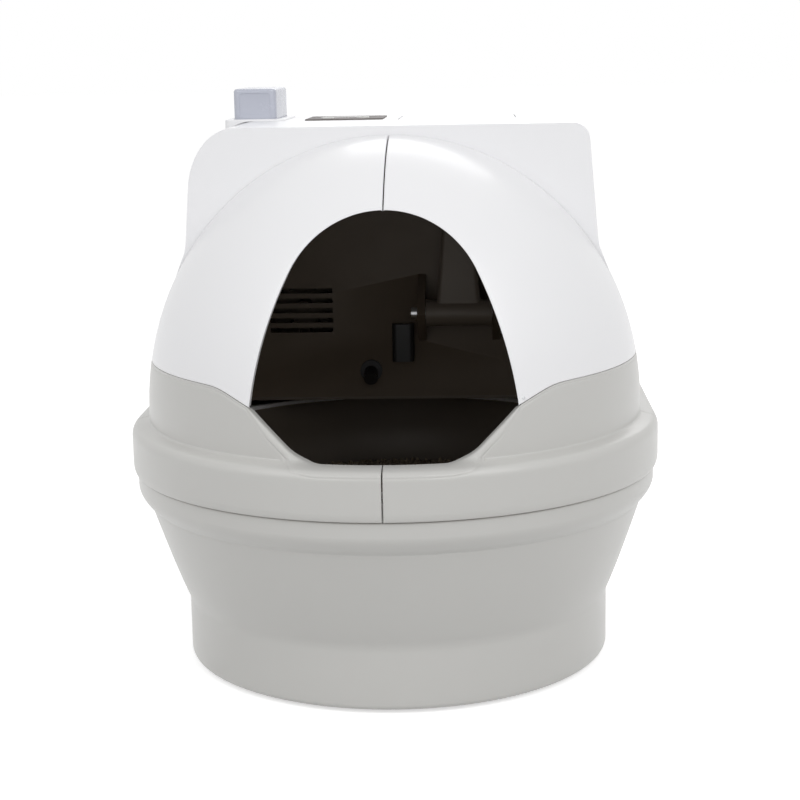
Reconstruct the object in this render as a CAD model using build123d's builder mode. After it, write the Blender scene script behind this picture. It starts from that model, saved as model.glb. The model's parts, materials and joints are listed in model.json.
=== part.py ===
from build123d import *
from math import cos, pi, radians, sin, sqrt, tan
import os

# A self-cleaning litter box: a round tub with a turning wash bowl, a two-tone hood
# in two halves over its front, and a process housing behind it.
# Millimetres. +Z is up and -Y is the front, where the cat walks in. The origin is
# on the floor under the middle of the whole product.

os.makedirs("parts", exist_ok=True)

# Plan of the body
RIM_RADIUS = 244.5
OVERALL_LENGTH = 622.0
REAR_CORNER = 120.0
BOWL_Y = RIM_RADIUS - OVERALL_LENGTH / 2
REAR_Y = OVERALL_LENGTH / 2

# Heights of the body
FOOT_HEIGHT = 3.0
PEDESTAL_TOP = 60.0
FLARE_TOP = 150.0
BEAD_TOP = 168.0
SEAT_Z = 180.6
SPIGOT_TOP = 197.0
BAND_HEIGHT = 54.4
BAND_TOP = SEAT_Z + BAND_HEIGHT
SHOULDER_STEP = 1.6
DOME_BASE = BAND_TOP + SHOULDER_STEP
DOME_HEIGHT = 246.4
TWO_TONE_Z = BAND_TOP + 48.0
HOUSING_TOP = 490.0

# How far each ring of the body stands in from the rim
PEDESTAL_INSET = 47.0
FLARE_INSET = 14.5
BEAD_INSET = 3.9
SPIGOT_INSET = 6.1
SKIRT_INSET = 1.5
SHOULDER_INSET = 12.2
DOME_INSET = 16.5
HOUSING_KINK_INSET = 54.0
HOUSING_SIDE_INSET = 55.5
HOUSING_TOP_INSET = 64.0

# Walls and gaps
TUB_WALL = 3.5
HOOD_WALL = 3.0
HOUSING_WALL = 3.5
HOOD_GAP = 0.4
SEAM_GAP = 1.0
RUNNING_GAP = 0.05
CLEAR = 0.5

# Split between the hood in front and the housing behind
HOOD_BACK_Y = BOWL_Y - 20.0
HOUSING_FRONT_Y = HOOD_BACK_Y + HOOD_GAP
KINK_DROP = 112.0
KINK_RISE = 10.0
SHAVE = 0.2
LEFT_SHOULDER = 38.0
RIGHT_SHOULDER = 14.0
REAR_SHOULDER = 26.0

# The cat's opening in the hood
OPENING_BOTTOM = 224.5
OPENING_FLAT = 50.0
OPENING_CORNER = (111.0, 269.0)
OPENING_CURVE = (82.0, 238.5)
OPENING_SIDE = (99.5, 322.0)
ARCH_CENTRE = 338.0
ARCH_RADIUS = 87.0
ARCH_END = 25.0
LIP_WIDTH = 3.5
LIP_DEPTH = 13.0
TWO_TONE_REACH = 150.0

# Wash bowl and its drive
BOWL_INSET = 22.5
BOWL_WALL = 3.0
BOWL_FLOOR = 102.0
BOWL_FLAT = 150.0
BOWL_BEND = 66.0
BEND_STEPS = 4
BOWL_RIM_Z = 200.0
DRAIN_SLOTS = 18
LITTER_TOP = 136.0
HUB_RADIUS = 27.0
HUB_BOTTOM = 76.0
BUSH_RADIUS = 20.0
SPINDLE_RADIUS = 15.0
GEAR_MODULE = 4.0
RING_TEETH = 74
PINION_TEETH = 12
GEAR_HEIGHT = 13.0
TOOTH_PLAY = 2.2
RING_PITCH = GEAR_MODULE * RING_TEETH / 2
PINION_PITCH = GEAR_MODULE * PINION_TEETH / 2
PINION_Y = BOWL_Y + RING_PITCH + PINION_PITCH

# Cave behind the bowl and what stands in it
FASCIA_Y = 76.0
FASCIA_WALL = 3.5
DECK_Z = 208.0
DECK_WALL = 3.0
SCOOP_X = 60.0
SCOOP_Y = 36.0
SCOOP_Z = 302.0
SCOOP_REACH = 164.0
SHAFT_RADIUS = 6.0
EAR_SPREAD = 66.0
EAR_WALL = 8.0
RAKE_WIDTH = 84.0
TINES = 9

# Hopper and what works in it
HOPPER_WIDTH = 108.0
HOPPER_LENGTH = 92.0
HOPPER_WALL = 2.5
HOPPER_Y = FASCIA_Y + FASCIA_WALL + HOPPER_LENGTH / 2
THROAT_RADIUS = 34.0
THROAT_TOP = 330.0
THROAT_BOTTOM = 272.0
FUNNEL_TOP = 392.0
GASKET_HEIGHT = 3.0
MOUTH_WIDTH = 90.0
MOUTH_LOW = 402.0
MOUTH_HIGH = 468.0
IMPELLER_RADIUS = 27.0
IMPELLER_BLADES = 6

# Hatch over the hopper
LID_WIDTH = 116.0
LID_LENGTH = 108.0
LID_THICK = 3.0
LID_GAP = 0.8
LID_SWING_ROOM = 2.0
BARREL_RADIUS = 3.5
HINGE_PIN_RADIUS = 1.5
LID_FRONT_Y = 74.0

# Cartridge and dock
CARTRIDGE_X = -143.0
CARTRIDGE_Y = 148.0
CARTRIDGE_WIDTH = 43.0
CARTRIDGE_LENGTH = 104.0
CARTRIDGE_TOP = 522.0
CARTRIDGE_BOTTOM = 428.0
DOCK_GAP = 1.0
DOCK_WALL = 2.5
DOCK_FLANGE = 5.0
DOCK_COLLAR = 16.0

# Control strip
PANEL_X = -53.0
PANEL_Y = 128.0
PANEL_WIDTH = 78.0
PANEL_LENGTH = 92.0
PANEL_THICK = 2.5
PANEL_STAND = 1.2
BUTTON_RADIUS = 6.5
BUTTON_TRAVEL = 1.2

BOWL_AXIS = Axis((0, BOWL_Y, 0), (0, 0, 1))
FAR = 900.0


def at_y(y):
    """An upright plane that faces the front at the given depth."""
    return Plane.XZ.offset(-y)


def bowl_plane(z):
    """A level plane with its origin on the bowl's axis."""
    return Plane((0, BOWL_Y, z))


def dome_radius(z, wall=0.0):
    """Radius of the hood's dome at a height, less a wall."""
    rise = (z - DOME_BASE) / (DOME_HEIGHT - wall)
    return (RIM_RADIUS - DOME_INSET - wall) * sqrt(max(0.0, 1 - rise * rise))


def plan_outline(inset):
    """The body's plan: a round front, straight sides and a back with round corners."""
    radius = RIM_RADIUS - inset
    corner = REAR_CORNER - inset
    back = REAR_Y - inset
    with BuildSketch(mode=Mode.PRIVATE) as outline:
        with BuildLine():
            CenterArc((0, BOWL_Y), radius, 180, 180)
            Line((radius, BOWL_Y), (radius, back - corner))
            CenterArc((radius - corner, back - corner), corner, 0, 90)
            Line((radius - corner, back), (corner - radius, back))
            CenterArc((corner - radius, back - corner), corner, 90, 90)
            Line((-radius, back - corner), (-radius, BOWL_Y))
        make_face()
    return outline.sketch


def body_stack(levels, wall=0.0):
    """A solid through level sections, each a height with its inset from the rim."""
    with BuildPart(mode=Mode.PRIVATE) as stack:
        for z, inset in levels:
            with BuildSketch(Plane.XY.offset(z)):
                add(plan_outline(inset + wall))
        loft(ruled=True)
    return stack.part


def slab(low, high):
    """A box from one corner to the other."""
    size = [high[i] - low[i] for i in range(3)]
    return Box(*size, align=Align.MIN, mode=Mode.PRIVATE).moved(Location(low))


def rod(start, end, radius):
    """A round bar between two points."""
    way = Vector(*end) - Vector(*start)
    bar = Cylinder(
        radius, way.length, align=(Align.CENTER, Align.CENTER, Align.MIN), mode=Mode.PRIVATE
    )
    return bar.moved(Plane(start, z_dir=way).location)


def save(piece, name):
    """Label a finished piece and write it."""
    piece.label = name
    export_step(piece, f"parts/{name}.step")


# Level sections shared by the tub, the hood and the housing
FLARE_STEPS = 4
CURVE_STEPS = 3
DOME_STEPS = 5


def flare_levels():
    """The pedestal's top, the gently bulging flare and the bead."""
    levels = [(PEDESTAL_TOP, PEDESTAL_INSET)]
    for step in range(1, FLARE_STEPS + 1):
        share = step / FLARE_STEPS
        z = PEDESTAL_TOP + (FLARE_TOP - PEDESTAL_TOP) * share
        levels.append((z, PEDESTAL_INSET + (FLARE_INSET - PEDESTAL_INSET) * share**0.9))
    for step in range(1, CURVE_STEPS + 1):
        share = step / CURVE_STEPS
        z = FLARE_TOP + (BEAD_TOP - FLARE_TOP) * share
        turn = sin(pi / 2 * share)
        levels.append((z, FLARE_INSET + (BEAD_INSET - FLARE_INSET) * turn))
    levels.append((SEAT_Z, BEAD_INSET))
    return levels


def band_levels(bottom):
    """The wide band round the hood and the housing, up to its shoulder."""
    straight_top = SEAT_Z + BAND_HEIGHT * 0.4
    levels = [(bottom, SKIRT_INSET), (SEAT_Z + BAND_HEIGHT * 0.18, 0.0), (straight_top, 0.0)]
    for step in range(1, CURVE_STEPS + 1):
        share = step / CURVE_STEPS
        z = straight_top + (BAND_TOP - straight_top) * share
        levels.append((z, SHOULDER_INSET * (1 - cos(pi / 2 * share))))
    return levels


def housing_levels(top):
    """The housing's outside, from its seat on the tub to the given top."""
    kink_z = HOUSING_TOP - KINK_DROP
    levels = band_levels(SEAT_Z) + [(DOME_BASE, DOME_INSET)]
    for step in range(1, DOME_STEPS + 1):
        z = DOME_BASE + (kink_z - 22.0 - DOME_BASE) * step / DOME_STEPS
        levels.append((z, RIM_RADIUS - dome_radius(z)))
    levels.append((kink_z, HOUSING_KINK_INSET))
    levels.append((kink_z + KINK_RISE, HOUSING_SIDE_INSET))
    levels.append((top, HOUSING_TOP_INSET))
    return levels


def shoulder_prism(wall=0.0):
    """The housing's outline from the front, with its two round shoulders."""
    half = RIM_RADIUS + 10.0
    top = HOUSING_TOP - wall
    side_z = HOUSING_TOP - KINK_DROP + KINK_RISE
    side = RIM_RADIUS - HOUSING_SIDE_INSET - wall + SHAVE
    side_top = RIM_RADIUS - HOUSING_TOP_INSET - wall + SHAVE
    back = REAR_Y - HOUSING_SIDE_INSET - wall + SHAVE
    back_top = REAR_Y - HOUSING_TOP_INSET - wall + SHAVE
    with BuildPart(mode=Mode.PRIVATE) as prism:
        with BuildSketch(at_y(REAR_Y + 10.0)) as front_view:
            with BuildLine():
                Polyline(
                    (-half, 0),
                    (half, 0),
                    (half, side_z),
                    (side, side_z),
                    (side_top, top),
                    (-side_top, top),
                    (-side, side_z),
                    (-half, side_z),
                    close=True,
                )
            make_face()
            left, right = front_view.vertices().group_by(Axis.Y)[-1].sort_by(Axis.X)
            fillet(left, LEFT_SHOULDER - wall)
            fillet(right, RIGHT_SHOULDER - wall)
        extrude(amount=OVERALL_LENGTH + 20.0)
        with BuildSketch(Plane.YZ.offset(-FAR / 2)) as side_view:
            with BuildLine():
                Polyline(
                    (-FAR, 0),
                    (REAR_Y + 10.0, 0),
                    (REAR_Y + 10.0, side_z),
                    (back, side_z),
                    (back_top, top),
                    (-FAR, top),
                    close=True,
                )
            make_face()
            fillet(side_view.vertices().group_by(Axis.Y)[-1].sort_by(Axis.X)[-1], REAR_SHOULDER)
        extrude(amount=FAR, mode=Mode.INTERSECT)
    return prism.part


def hood_curve(wall):
    """The hood's outline from its seat to its top, on the upright plane of the axis."""
    points = [(RIM_RADIUS - inset, z) for z, inset in band_levels(SEAT_Z + HOOD_GAP)]
    if wall:
        skirt = RIM_RADIUS - SPIGOT_INSET + 0.6
        points = [
            (skirt, SEAT_Z + HOOD_GAP),
            (skirt, SEAT_Z + BAND_HEIGHT * 0.45),
            (RIM_RADIUS - DOME_INSET - wall + 0.5, BAND_TOP - 4.0),
        ]
    return points


def hood_form(wall):
    """A solid of the hood's outside, or of its inside when a wall is given."""
    radius = RIM_RADIUS - DOME_INSET - wall
    height = DOME_HEIGHT - wall
    with BuildPart(mode=Mode.PRIVATE) as form:
        with BuildSketch(at_y(BOWL_Y)):
            with BuildLine():
                points = hood_curve(wall)
                Polyline((0, points[0][1]), *points, (radius, DOME_BASE))
                turns = [pi / 2 * step / DOME_STEPS for step in range(DOME_STEPS + 1)]
                arch = [(radius * cos(turn), DOME_BASE + height * sin(turn)) for turn in turns]
                Spline(*arch, tangents=((0, 1), (-1, 0)))
                Line((0, DOME_BASE + height), (0, points[0][1]))
            make_face()
        revolve(axis=BOWL_AXIS)
        add(slab((-FAR, HOOD_BACK_Y, 0), (FAR, FAR, FAR)), mode=Mode.SUBTRACT)
    return form.part


def opening_outline(grow=0.0):
    """The cat's opening seen from the front: a basin below and an arch above."""
    with BuildSketch(mode=Mode.PRIVATE) as outline:
        with BuildLine():
            end = (
                ARCH_RADIUS * cos(radians(ARCH_END)),
                ARCH_CENTRE + ARCH_RADIUS * sin(radians(ARCH_END)),
            )
            Line((0, OPENING_BOTTOM), (OPENING_FLAT, OPENING_BOTTOM))
            TangentArc((OPENING_FLAT, OPENING_BOTTOM), OPENING_CURVE, tangent=(1, 0))
            Line(OPENING_CURVE, OPENING_CORNER)
            ThreePointArc(OPENING_CORNER, OPENING_SIDE, end)
            CenterArc((0, ARCH_CENTRE), ARCH_RADIUS, ARCH_END, 90 - ARCH_END)
            Line((0, ARCH_CENTRE + ARCH_RADIUS), (0, OPENING_BOTTOM))
        make_face()
        mirror(about=Plane.YZ)
        if grow:
            offset(amount=grow)
    return outline.sketch


def forward_prism(outline, start_y):
    """An outline on an upright plane, run forward past the front."""
    with BuildPart(mode=Mode.PRIVATE) as prism:
        with BuildSketch(at_y(start_y)):
            add(outline)
        extrude(amount=FAR)
    return prism.part


def two_tone_prism():
    """Everything below the line where the white hood meets the grey one."""
    corner_x, corner_z = OPENING_CORNER
    with BuildSketch(mode=Mode.PRIVATE) as outline:
        with BuildLine():
            start = (corner_x - 3.0, corner_z + 1.0)
            Polyline((0, corner_z - 30.0), (corner_x - 30.0, corner_z - 30.0), start)
            TangentArc((TWO_TONE_REACH, TWO_TONE_Z), start, tangent=(-1, 0))
            Polyline((TWO_TONE_REACH, TWO_TONE_Z), (FAR / 2, TWO_TONE_Z), (FAR / 2, 0), (0, 0))
            Line((0, 0), (0, corner_z - 30.0))
        make_face()
        mirror(about=Plane.YZ)
    return forward_prism(outline.sketch, FAR / 2)


def gear_points(teeth, first_degrees):
    """Corner points of a gear with straight flanks, its first tooth at an angle."""
    pitch = GEAR_MODULE * teeth / 2
    addendum = 0.8 * GEAR_MODULE
    dedendum = 1.15 * GEAR_MODULE
    half = (pi * GEAR_MODULE / 2 - TOOTH_PLAY / 2) / 2
    slope = tan(radians(20))
    root, tip = pitch - dedendum, pitch + addendum
    root_turn = (half + dedendum * slope) / root
    tip_turn = (half - addendum * slope) / tip
    points = []
    for tooth in range(teeth):
        middle = radians(first_degrees) + 2 * pi * tooth / teeth
        for radius, turn in ((root, -root_turn), (tip, -tip_turn), (tip, tip_turn), (root, root_turn)):
            points.append((radius * cos(middle + turn), radius * sin(middle + turn)))
    return points


# Base tub: pedestal, flare and bead, with a seat and a spigot for the hood

with BuildPart() as base_tub:
    with BuildSketch(Plane.XY.offset(FOOT_HEIGHT)):
        add(plan_outline(PEDESTAL_INSET))
    extrude(amount=PEDESTAL_TOP - FOOT_HEIGHT)
    fillet(base_tub.edges().group_by(Axis.Z)[0], 5.0)
    add(body_stack(flare_levels()))
    add(body_stack([(SEAT_Z, SPIGOT_INSET), (SPIGOT_TOP, SPIGOT_INSET)]))
    tub_floor = FOOT_HEIGHT + 7.0
    inside = [(tub_floor, PEDESTAL_INSET)] + flare_levels()[:-2]
    inside += [(BEAD_TOP, SPIGOT_INSET), (SPIGOT_TOP, SPIGOT_INSET)]
    add(body_stack(inside, TUB_WALL), mode=Mode.SUBTRACT)
    with BuildSketch(Plane.XY.offset(FOOT_HEIGHT)):
        add(plan_outline(PEDESTAL_INSET + 6.0))
    extrude(amount=3.0, mode=Mode.SUBTRACT)
save(base_tub.part, "base_tub")

# Base plate with holes for the feet

FOOT_RADIUS = 14.0
SCREW_RADIUS = 3.0
foot_x = RIM_RADIUS - PEDESTAL_INSET - 47.0
foot_spots = [
    (sign * foot_x, y) for sign in (-1, 1) for y in (BOWL_Y - 60.0, REAR_Y - PEDESTAL_INSET - 40.0)
]
screw_spots = [
    (sign * (foot_x - 34.0), y) for sign in (-1, 1) for y in (BOWL_Y - 80.0, REAR_Y - PEDESTAL_INSET - 30.0)
]

with BuildPart() as base_plate:
    with BuildSketch(Plane.XY.offset(FOOT_HEIGHT)):
        add(plan_outline(PEDESTAL_INSET + 6.5))
        with Locations(*foot_spots):
            Circle(FOOT_RADIUS, mode=Mode.SUBTRACT)
        with Locations(*screw_spots):
            Circle(SCREW_RADIUS, mode=Mode.SUBTRACT)
    extrude(amount=3.0)
save(base_plate.part, "base_plate")

with BuildPart() as rubber_feet:
    with BuildSketch():
        with Locations(*foot_spots):
            Circle(FOOT_RADIUS)
    extrude(amount=FOOT_HEIGHT + 3.0)
    fillet(rubber_feet.edges().group_by(Axis.Z)[0], 1.5)
save(rubber_feet.part, "rubber_feet")

with BuildPart() as base_screws:
    with BuildSketch(Plane.XY.offset(FOOT_HEIGHT)):
        with Locations(*screw_spots):
            Circle(SCREW_RADIUS)
    extrude(amount=3.0)
    with BuildSketch(Plane.XY.offset(FOOT_HEIGHT - 1.5)):
        with Locations(*screw_spots):
            Circle(2 * SCREW_RADIUS)
    extrude(amount=1.5)
save(base_screws.part, "base_screws")

# Spindle, thrust washer and the bush in the bowl's hub

washer_low = HUB_BOTTOM - 0.4 - 3.0

with BuildPart() as bowl_spindle:
    with BuildSketch(bowl_plane(tub_floor)):
        Circle(46.0)
    extrude(amount=6.0)
    with BuildSketch(bowl_plane(tub_floor + 6.0)):
        Circle(30.0)
    with BuildSketch(bowl_plane(washer_low)):
        Circle(BUSH_RADIUS)
    loft(ruled=True)
    with BuildSketch(bowl_plane(washer_low)):
        Circle(SPINDLE_RADIUS)
    extrude(amount=BOWL_FLOOR - 5.0 - washer_low)
    with BuildSketch(bowl_plane(tub_floor)):
        with PolarLocations(0, 6):
            with Locations((30.0, 0)):
                Rectangle(34.0, 4.0)
    extrude(amount=34.0)
save(bowl_spindle.part, "bowl_spindle")

with BuildPart() as spindle_washer:
    with BuildSketch(bowl_plane(washer_low)):
        Circle(HUB_RADIUS)
        Circle(SPINDLE_RADIUS, mode=Mode.SUBTRACT)
    extrude(amount=3.0)
save(spindle_washer.part, "spindle_washer")

with BuildPart() as bowl_hub_bush:
    with BuildSketch(bowl_plane(HUB_BOTTOM)):
        Circle(BUSH_RADIUS)
        Circle(SPINDLE_RADIUS + RUNNING_GAP, mode=Mode.SUBTRACT)
    extrude(amount=BOWL_FLOOR - 2.0 - HUB_BOTTOM)
save(bowl_hub_bush.part, "bowl_hub_bush")

# Wash bowl: a dished, slotted pan with a rolled rim and a hub

bowl_radius = RIM_RADIUS - BOWL_INSET
bowl_side = BOWL_FLAT + BOWL_BEND
bend_top = BOWL_FLOOR + BOWL_BEND


def bend_points(radius):
    """Corner points of the bowl's bend at a radius, from its flat floor to its side."""
    turns = [pi / 2 * step / BEND_STEPS for step in range(BEND_STEPS + 1)]
    return [(BOWL_FLAT + radius * sin(turn), bend_top - radius * cos(turn)) for turn in turns]


with BuildPart() as wash_bowl:
    with BuildSketch(at_y(BOWL_Y)):
        with BuildLine():
            Polyline(
                (0, BOWL_FLOOR),
                *bend_points(BOWL_BEND),
                (bowl_side, BOWL_RIM_Z - 4.0),
                (bowl_radius, BOWL_RIM_Z - 4.0),
                (bowl_radius, BOWL_RIM_Z),
                (bowl_side - BOWL_WALL, BOWL_RIM_Z),
                *reversed(bend_points(BOWL_BEND - BOWL_WALL)),
                (0, BOWL_FLOOR + BOWL_WALL),
                close=True,
            )
        make_face()
    revolve(axis=BOWL_AXIS)
    with BuildSketch(bowl_plane(HUB_BOTTOM)):
        Circle(HUB_RADIUS)
        Circle(BUSH_RADIUS, mode=Mode.SUBTRACT)
    extrude(amount=BOWL_FLOOR - HUB_BOTTOM)
    with BuildSketch(bowl_plane(BOWL_FLOOR)):
        with PolarLocations(104.0, DRAIN_SLOTS):
            Rectangle(38.0, 3.2)
    extrude(amount=BOWL_WALL, mode=Mode.SUBTRACT)
save(wash_bowl.part, "wash_bowl")

with BuildPart() as bowl_ring_gear:
    with BuildSketch(bowl_plane(BOWL_FLOOR - GEAR_HEIGHT)):
        with BuildLine():
            Polyline(*gear_points(RING_TEETH, 90.0), close=True)
        make_face()
        Circle(RING_PITCH - 16.0, mode=Mode.SUBTRACT)
    extrude(amount=GEAR_HEIGHT)
save(bowl_ring_gear.part, "bowl_ring_gear")

# Granules: the level bed that the bowl carries

GRANULE_GAP = 0.3
granule_bend = bend_points(BOWL_BEND - BOWL_WALL - GRANULE_GAP)

with BuildPart() as litter_granules:
    with BuildSketch(at_y(BOWL_Y)):
        with BuildLine():
            Polyline((0, granule_bend[0][1]), *granule_bend, (0, granule_bend[-1][1]), close=True)
        make_face()
        with Locations((0, LITTER_TOP)):
            Rectangle(FAR, FAR, align=(Align.CENTER, Align.MIN), mode=Mode.SUBTRACT)
    revolve(axis=BOWL_AXIS)
save(litter_granules.part, "litter_granules")

# Bowl drive: pinion on its gearmotor, carried by a bracket on the tub's floor

MOTOR_TOP = 72.0
BRACKET_THICK = 3.0
PINION_SHAFT = 5.0
pinion_plane = Plane((0, PINION_Y, BOWL_FLOOR - GEAR_HEIGHT + 0.5))

with BuildPart() as bowl_pinion:
    with BuildSketch(pinion_plane):
        with BuildLine():
            Polyline(*gear_points(PINION_TEETH, -90.0 + 180.0 / PINION_TEETH), close=True)
        make_face()
    extrude(amount=GEAR_HEIGHT - 3.0)
    with BuildSketch(pinion_plane):
        Circle(PINION_SHAFT)
    extrude(amount=-28.0)
save(bowl_pinion.part, "bowl_pinion")

with BuildPart() as bowl_drive_motor:
    with BuildSketch(Plane((0, PINION_Y, tub_floor + BRACKET_THICK))):
        RectangleRounded(62.0, 52.0, 8.0)
    extrude(amount=MOTOR_TOP - tub_floor - BRACKET_THICK)
    with BuildSketch(Plane((0, PINION_Y, MOTOR_TOP))):
        Circle(12.0)
    extrude(amount=9.0)
    with BuildSketch(Plane((0, PINION_Y, MOTOR_TOP + 9.0))):
        Circle(PINION_SHAFT + RUNNING_GAP)
    extrude(amount=-24.0, mode=Mode.SUBTRACT)
save(bowl_drive_motor.part, "bowl_drive_motor")

with BuildPart() as motor_bracket:
    with BuildSketch(Plane((0, PINION_Y, tub_floor))):
        RectangleRounded(104.0, 60.0, 6.0)
        with GridLocations(88.0, 40.0, 2, 2):
            Circle(2.5, mode=Mode.SUBTRACT)
    extrude(amount=BRACKET_THICK)
save(motor_bracket.part, "motor_bracket")

# Hood: a turned dome and band, cut by the cat's opening, in two halves of two colours

hood_outside = hood_form(0.0)
hood_inside = hood_form(HOOD_WALL)
lip_inside = hood_form(LIP_DEPTH)

with BuildPart() as whole_hood:
    add(hood_outside)
    add(hood_inside, mode=Mode.SUBTRACT)
    with BuildPart(mode=Mode.PRIVATE) as lip:
        add(forward_prism(opening_outline(LIP_WIDTH), HOOD_BACK_Y - 30.0))
        add(hood_outside, mode=Mode.INTERSECT)
        add(lip_inside, mode=Mode.SUBTRACT)
    add(lip.part)
    add(forward_prism(opening_outline(), HOOD_BACK_Y), mode=Mode.SUBTRACT)

below_line = two_tone_prism()

for side, sign in (("left", -1), ("right", 1)):
    near, far = sorted((sign * SEAM_GAP / 2, sign * FAR / 2))
    half_space = slab((near, -FAR, 0), (far, FAR, FAR))
    with BuildPart() as hood_lower:
        add(whole_hood.part)
        add(half_space, mode=Mode.INTERSECT)
        add(below_line, mode=Mode.INTERSECT)
    save(hood_lower.part, f"hood_lower_{side}")
    with BuildPart() as hood_upper:
        add(whole_hood.part)
        add(half_space, mode=Mode.INTERSECT)
        add(below_line, mode=Mode.SUBTRACT)
    save(hood_upper.part, f"hood_upper_{side}")

# Process housing: one moulded form cut into a grey lower and a white upper shell

TOP_WALL_LOW = HOUSING_TOP - HOUSING_WALL
lid_x = (SCOOP_X - LID_WIDTH / 2, SCOOP_X + LID_WIDTH / 2)
lid_y = (LID_FRONT_Y, LID_FRONT_Y + LID_LENGTH)
hinge_y = lid_y[1] - BARREL_RADIUS
hinge_z = HOUSING_TOP - BARREL_RADIUS
SPOUT_Z = 262.0
spout_spots = {"drain": 62.0, "inlet": -62.0, "power": 0.0}
SPOUT_RADIUS = {"drain": 14.0, "inlet": 13.0, "power": 9.0}
SPOUT_COLLAR = 2.0
COLLAR_STAND = 3.0
rear_wall_y = REAR_Y - (RIM_RADIUS - dome_radius(SPOUT_Z))

with BuildPart() as housing_inside:
    add(body_stack(housing_levels(TOP_WALL_LOW), HOUSING_WALL))
    add(shoulder_prism(HOUSING_WALL), mode=Mode.INTERSECT)
    add(slab((-FAR, -FAR, 0), (FAR, HOUSING_FRONT_Y + HOUSING_WALL, FAR)), mode=Mode.SUBTRACT)

with BuildPart() as housing_outside:
    add(body_stack(housing_levels(HOUSING_TOP)))
    add(shoulder_prism(), mode=Mode.INTERSECT)
    add(slab((-FAR, -FAR, 0), (FAR, HOUSING_FRONT_Y, FAR)), mode=Mode.SUBTRACT)

with BuildPart() as housing:
    add(housing_outside.part)
    add(housing_inside.part, mode=Mode.SUBTRACT)
    spigot = SPIGOT_INSET - CLEAR
    add(body_stack([(0, spigot), (SPIGOT_TOP + CLEAR, spigot)]), mode=Mode.SUBTRACT)
    # The doorway in the front wall follows the inside of the dome
    with BuildSketch(at_y(HOUSING_FRONT_Y + 2 * HOUSING_WALL)):
        door_half = RIM_RADIUS - DOME_INSET - HOOD_WALL - 2.0
        with Locations((0, DOME_BASE)):
            Ellipse(door_half, DOME_HEIGHT - HOOD_WALL - 2.0)
        with Locations((0, DOME_BASE / 2 + SEAT_Z / 2 - 5.0)):
            Rectangle(2 * door_half, DOME_BASE - SEAT_Z + 10.0)
    extrude(amount=3 * HOUSING_WALL, mode=Mode.SUBTRACT)

with BuildPart() as lower_housing:
    add(housing.part)
    add(slab((-FAR, -FAR, 0), (FAR, FAR, TWO_TONE_Z)), mode=Mode.INTERSECT)
    for name, x in spout_spots.items():
        radius = SPOUT_RADIUS[name] + SPOUT_COLLAR + HOOD_GAP
        spout = rod((x, rear_wall_y - 20.0, SPOUT_Z), (x, REAR_Y, SPOUT_Z), radius)
        add(spout, mode=Mode.SUBTRACT)
save(lower_housing.part, "lower_housing")

dock_hole = (CARTRIDGE_WIDTH + 2 * (DOCK_GAP + DOCK_WALL), CARTRIDGE_LENGTH + 2 * (DOCK_GAP + DOCK_WALL))
EAR_BLOCK = 8.0

with BuildPart() as upper_housing:
    add(housing.part)
    add(slab((-FAR, -FAR, TWO_TONE_Z), (FAR, FAR, FAR)), mode=Mode.INTERSECT)
    for x in (lid_x[0] - EAR_BLOCK, lid_x[1]):
        ear = slab((x, hinge_y - 7.0, hinge_z - 8.0), (x + EAR_BLOCK, hinge_y + 7.0, TOP_WALL_LOW))
        add(ear)
    # Well for the dock, seat for the control panel, and the hatch
    with BuildSketch(Plane((CARTRIDGE_X, CARTRIDGE_Y, HOUSING_TOP))):
        Rectangle(*dock_hole)
    extrude(amount=-LEFT_SHOULDER, mode=Mode.SUBTRACT)
    with BuildSketch(Plane((PANEL_X, PANEL_Y, HOUSING_TOP))):
        RectangleRounded(PANEL_WIDTH, PANEL_LENGTH, 5.0)
    extrude(amount=PANEL_STAND - PANEL_THICK, mode=Mode.SUBTRACT)
    with BuildSketch(Plane((PANEL_X, PANEL_Y, HOUSING_TOP))):
        Rectangle(PANEL_WIDTH - 16.0, PANEL_LENGTH - 16.0)
    extrude(amount=-2 * HOUSING_WALL, mode=Mode.SUBTRACT)
    add(
        slab(
            (lid_x[0] - LID_GAP, lid_y[0] - LID_GAP, TOP_WALL_LOW - 1.0),
            (lid_x[1] + LID_GAP, hinge_y, FAR),
        ),
        mode=Mode.SUBTRACT,
    )
    add(
        slab(
            (lid_x[0] - LID_GAP, hinge_y - BARREL_RADIUS - LID_GAP, hinge_z - BARREL_RADIUS - LID_GAP),
            (lid_x[1] + LID_GAP, lid_y[1] + LID_SWING_ROOM, FAR),
        ),
        mode=Mode.SUBTRACT,
    )
    hinge_bore = rod((lid_x[0] - 6.0, hinge_y, hinge_z), (lid_x[1] + 6.0, hinge_y, hinge_z), HINGE_PIN_RADIUS)
    add(hinge_bore, mode=Mode.SUBTRACT)
save(upper_housing.part, "upper_housing")

with BuildPart() as hopper_lid:
    add(slab((lid_x[0], lid_y[0], HOUSING_TOP - LID_THICK), (lid_x[1], hinge_y, HOUSING_TOP)))
    fillet(hopper_lid.edges().filter_by(Axis.Z).group_by(Axis.Y)[0], 5.0)
    add(rod((lid_x[0], hinge_y, hinge_z), (lid_x[1], hinge_y, hinge_z), BARREL_RADIUS))
    bore = rod((lid_x[0], hinge_y, hinge_z), (lid_x[1], hinge_y, hinge_z), HINGE_PIN_RADIUS + RUNNING_GAP)
    add(bore, mode=Mode.SUBTRACT)
save(hopper_lid.part, "hopper_lid")

with BuildPart() as lid_hinge_pins:
    add(rod((lid_x[0] - 6.0, hinge_y, hinge_z), (lid_x[0] + 22.0, hinge_y, hinge_z), HINGE_PIN_RADIUS))
    add(rod((lid_x[1] - 22.0, hinge_y, hinge_z), (lid_x[1] + 6.0, hinge_y, hinge_z), HINGE_PIN_RADIUS))
save(lid_hinge_pins.part, "lid_hinge_pins")

# Rear deck and inner fascia with the scoop's ears

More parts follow.
